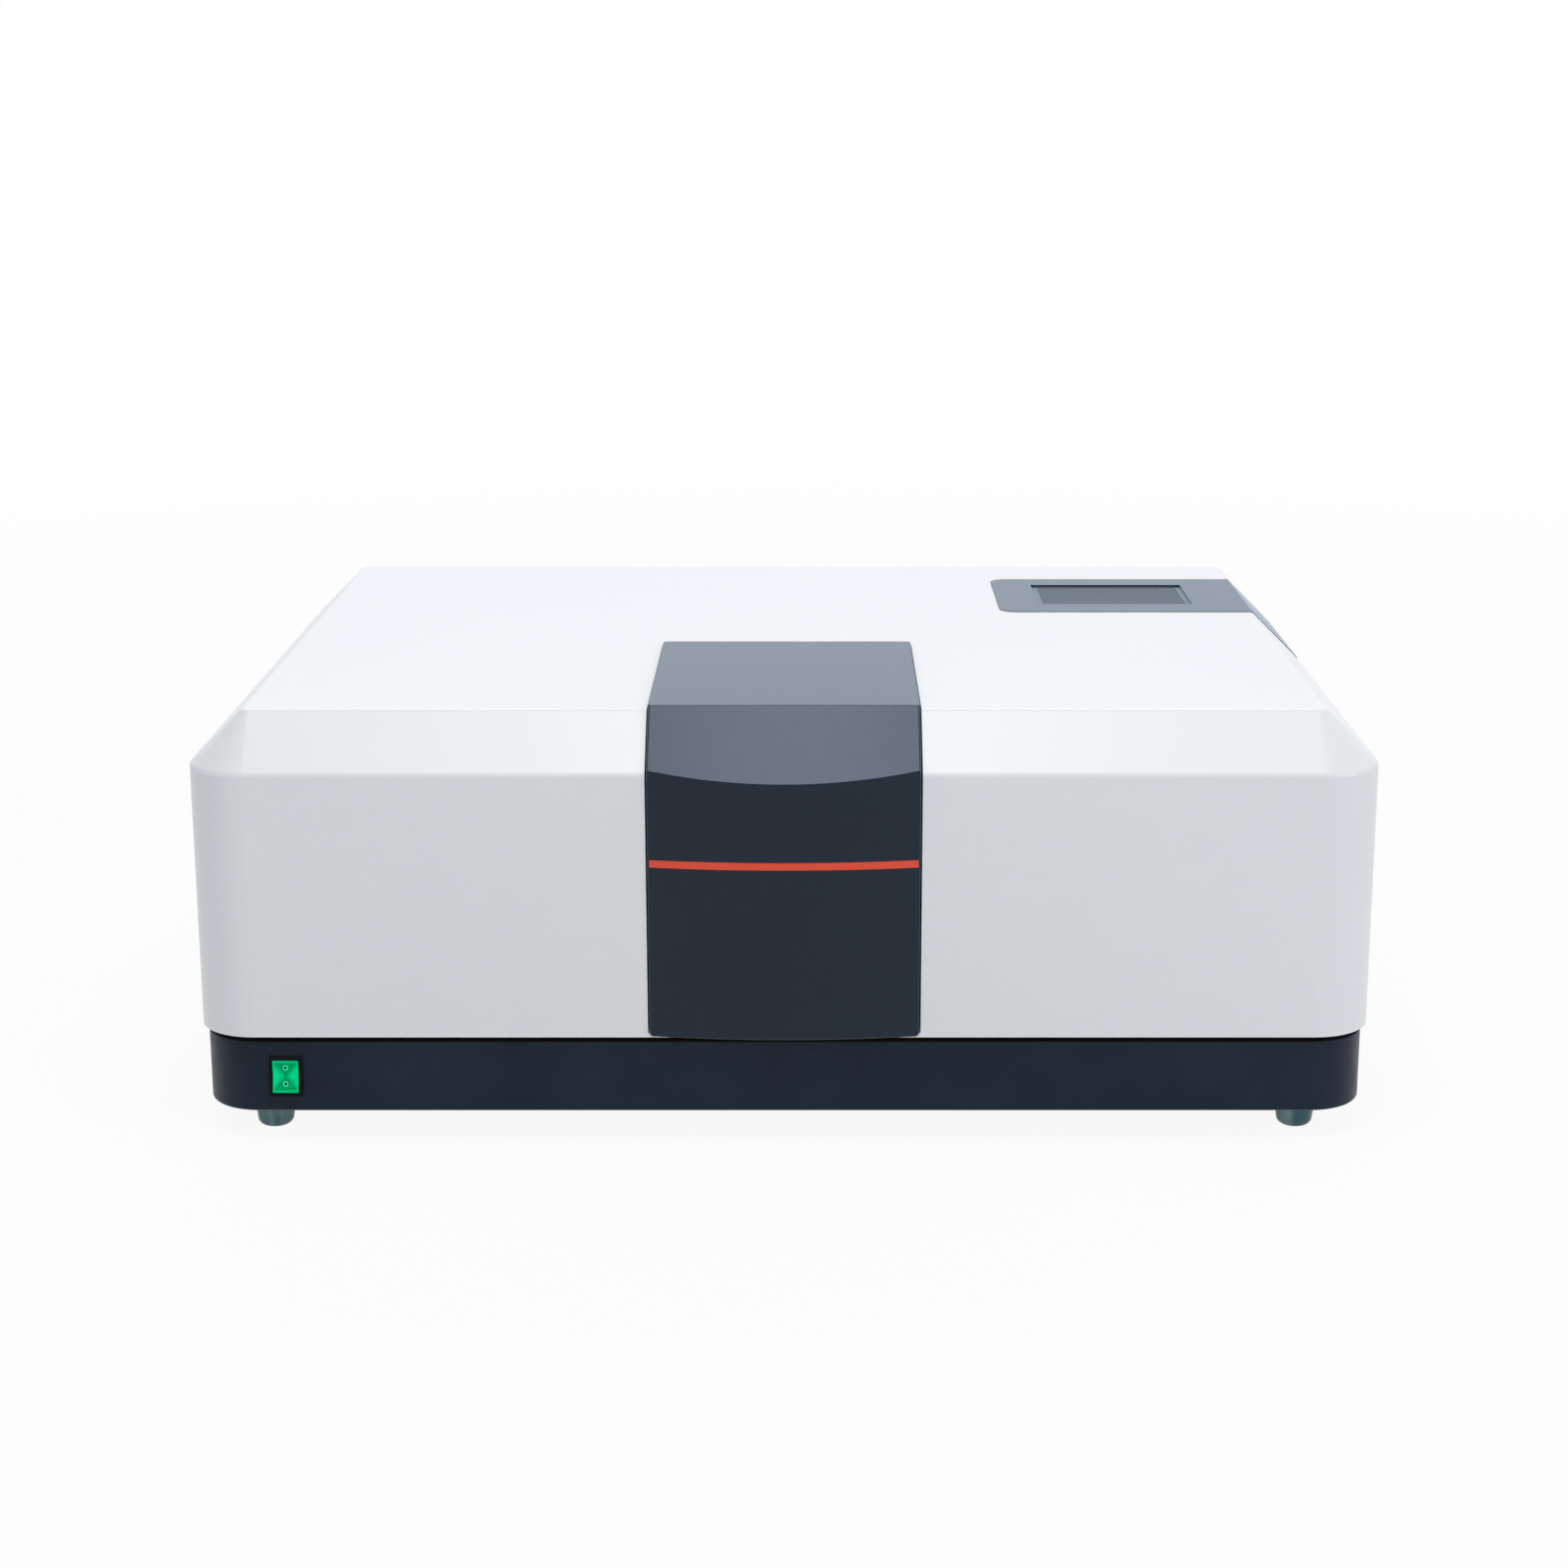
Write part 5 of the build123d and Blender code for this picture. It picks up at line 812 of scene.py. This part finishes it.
def gasket_bead():
    """The gasket's bulging edge: a round bead along the tray's outline, quarter circles at its corners,
    near-black as painted shadow of the gap under the hood.
    """
    low, high = node_box("base_tray")
    left, front = low[:2] + BEAD_IN
    right, back = high[:2] - BEAD_IN
    near, far = TRAY_NEAR_R - BEAD_IN, TRAY_FAR_R - BEAD_IN
    corners = ((right - near, front + near, near), (right - far, back - far, far))
    corners += ((left + far, back - far, far), (left + near, front + near, near))
    plan = [np.array([(BEAD_START, front)])]
    for number, (x, y, radius) in enumerate(corners):
        turn = np.linspace(number - 1, number, num=16) * pi / 2
        plan.append(np.stack((x + radius * np.cos(turn), y + radius * np.sin(turn)), -1))
    plan.append(np.array([(-BEAD_START, front)]))
    x, y = np.vstack(plan).T
    skin = closed_ring(wire(points_of(x, y, high[2] - BEAD_DOWN), UPWARD, BEAD_R, steps=14))
    # The bead's near-black rubber is partly the real gasket edge and partly painted shadow of the gap under
    # the hood's edge.
    make_piece("gasket_bead", [skin], painted_shadow_rubber(), "chassis")


# Studio

def studio_world():
    """White surroundings for the camera, reflections and glass, and a softer fill for everything else."""
    world = bpy.data.worlds.new("surroundings")
    bpy.context.scene.world = world
    graph = Graph(world)
    clear = graph.seen_in("Is Camera Ray", "Is Glossy Ray", "Is Transmission Ray")
    tint = graph.blend_of(graph.seen_in("Is Camera Ray"), SKY_TINT, (1, 1, 1))
    background = graph.node("ShaderNodeBackground")
    graph.link(tint, background.inputs["Color"])
    graph.link(graph.spread(clear, SKY_FILL, 1, 0, 1), background.inputs["Strength"])
    output = graph.node("ShaderNodeOutputWorld")
    graph.link(background.outputs["Background"], output.inputs["Surface"])


def glowing_floor():
    """Pale matt that fades to white light for the camera and reflections, wholly only far from the middle."""
    material = bpy.data.materials.new("pale_floor")
    graph = Graph(material)
    place = graph.node("ShaderNodeTexCoord")
    reach = graph.node("ShaderNodeVectorMath")
    reach.operation = "LENGTH"
    graph.link(place.outputs["Object"], reach.inputs[0])
    fade = graph.spread(reach.outputs["Value"], FLOOR_GLOW, 1, *FLOOR_FADE)
    share = graph.maths("MULTIPLY", graph.seen_in("Is Camera Ray", "Is Glossy Ray"), fade)
    matt = graph.node("ShaderNodeBsdfDiffuse")
    matt.inputs["Color"].default_value = (*FLOOR_MATT, 1)
    glow = graph.node("ShaderNodeEmission")
    mix = graph.node("ShaderNodeMixShader")
    graph.link(share, mix.inputs["Fac"])
    graph.link(matt.outputs["BSDF"], mix.inputs[1])
    graph.link(glow.outputs["Emission"], mix.inputs[2])
    output = graph.node("ShaderNodeOutputMaterial")
    graph.link(mix.outputs["Shader"], output.inputs["Surface"])
    return material


def pale_floor():
    """A wide flat square that keeps the object's shadow."""
    half = FLOOR_SIZE / 2
    mesh = bpy.data.meshes.new("floor")
    corners = [(-half, -half, 0), (half, -half, 0), (half, half, 0), (-half, half, 0)]
    mesh.from_pydata(corners, [], [(0, 1, 2, 3)])
    mesh.materials.append(glowing_floor())
    floor = bpy.data.objects.new("floor", mesh)
    bpy.context.scene.collection.objects.link(floor)


def softbox(name, at, turn, size, power, tint):
    """A rectangular soft lamp, turned by degrees."""
    lamp = bpy.data.lights.new(name, "AREA")
    lamp.shape = "RECTANGLE"
    lamp.size, lamp.size_y = size
    lamp.energy = power
    lamp.color = tint
    holder = bpy.data.objects.new(name, lamp)
    holder.location = at
    holder.rotation_euler = [radians(angle) for angle in turn]
    bpy.context.scene.collection.objects.link(holder)


def photo_camera():
    """The camera at the photograph's place."""
    lens = bpy.data.cameras.new("camera")
    lens.lens = CAMERA_LENS
    lens.sensor_width = SENSOR
    lens.shift_x = CAMERA_SHIFT_X
    lens.clip_end = 100
    camera = bpy.data.objects.new("camera", lens)
    camera.location = CAMERA_AT
    camera.rotation_euler = (radians(90 - CAMERA_DOWN), 0, 0)
    bpy.context.scene.collection.objects.link(camera)
    bpy.context.scene.camera = camera


def build_studio():
    """World, floor, lamps, camera and plain view settings."""
    studio_world()
    pale_floor()
    for name, lamp in LAMPS.items():
        softbox(name, **lamp)
    photo_camera()
    bpy.context.scene.view_settings.view_transform = "Standard"


dress_solids()
rocker_marks()
guard_of_wire()
bladed_rotor()
threaded_screw()
panel_screw_heads()
small_screws()
gasket_bead()
build_studio()
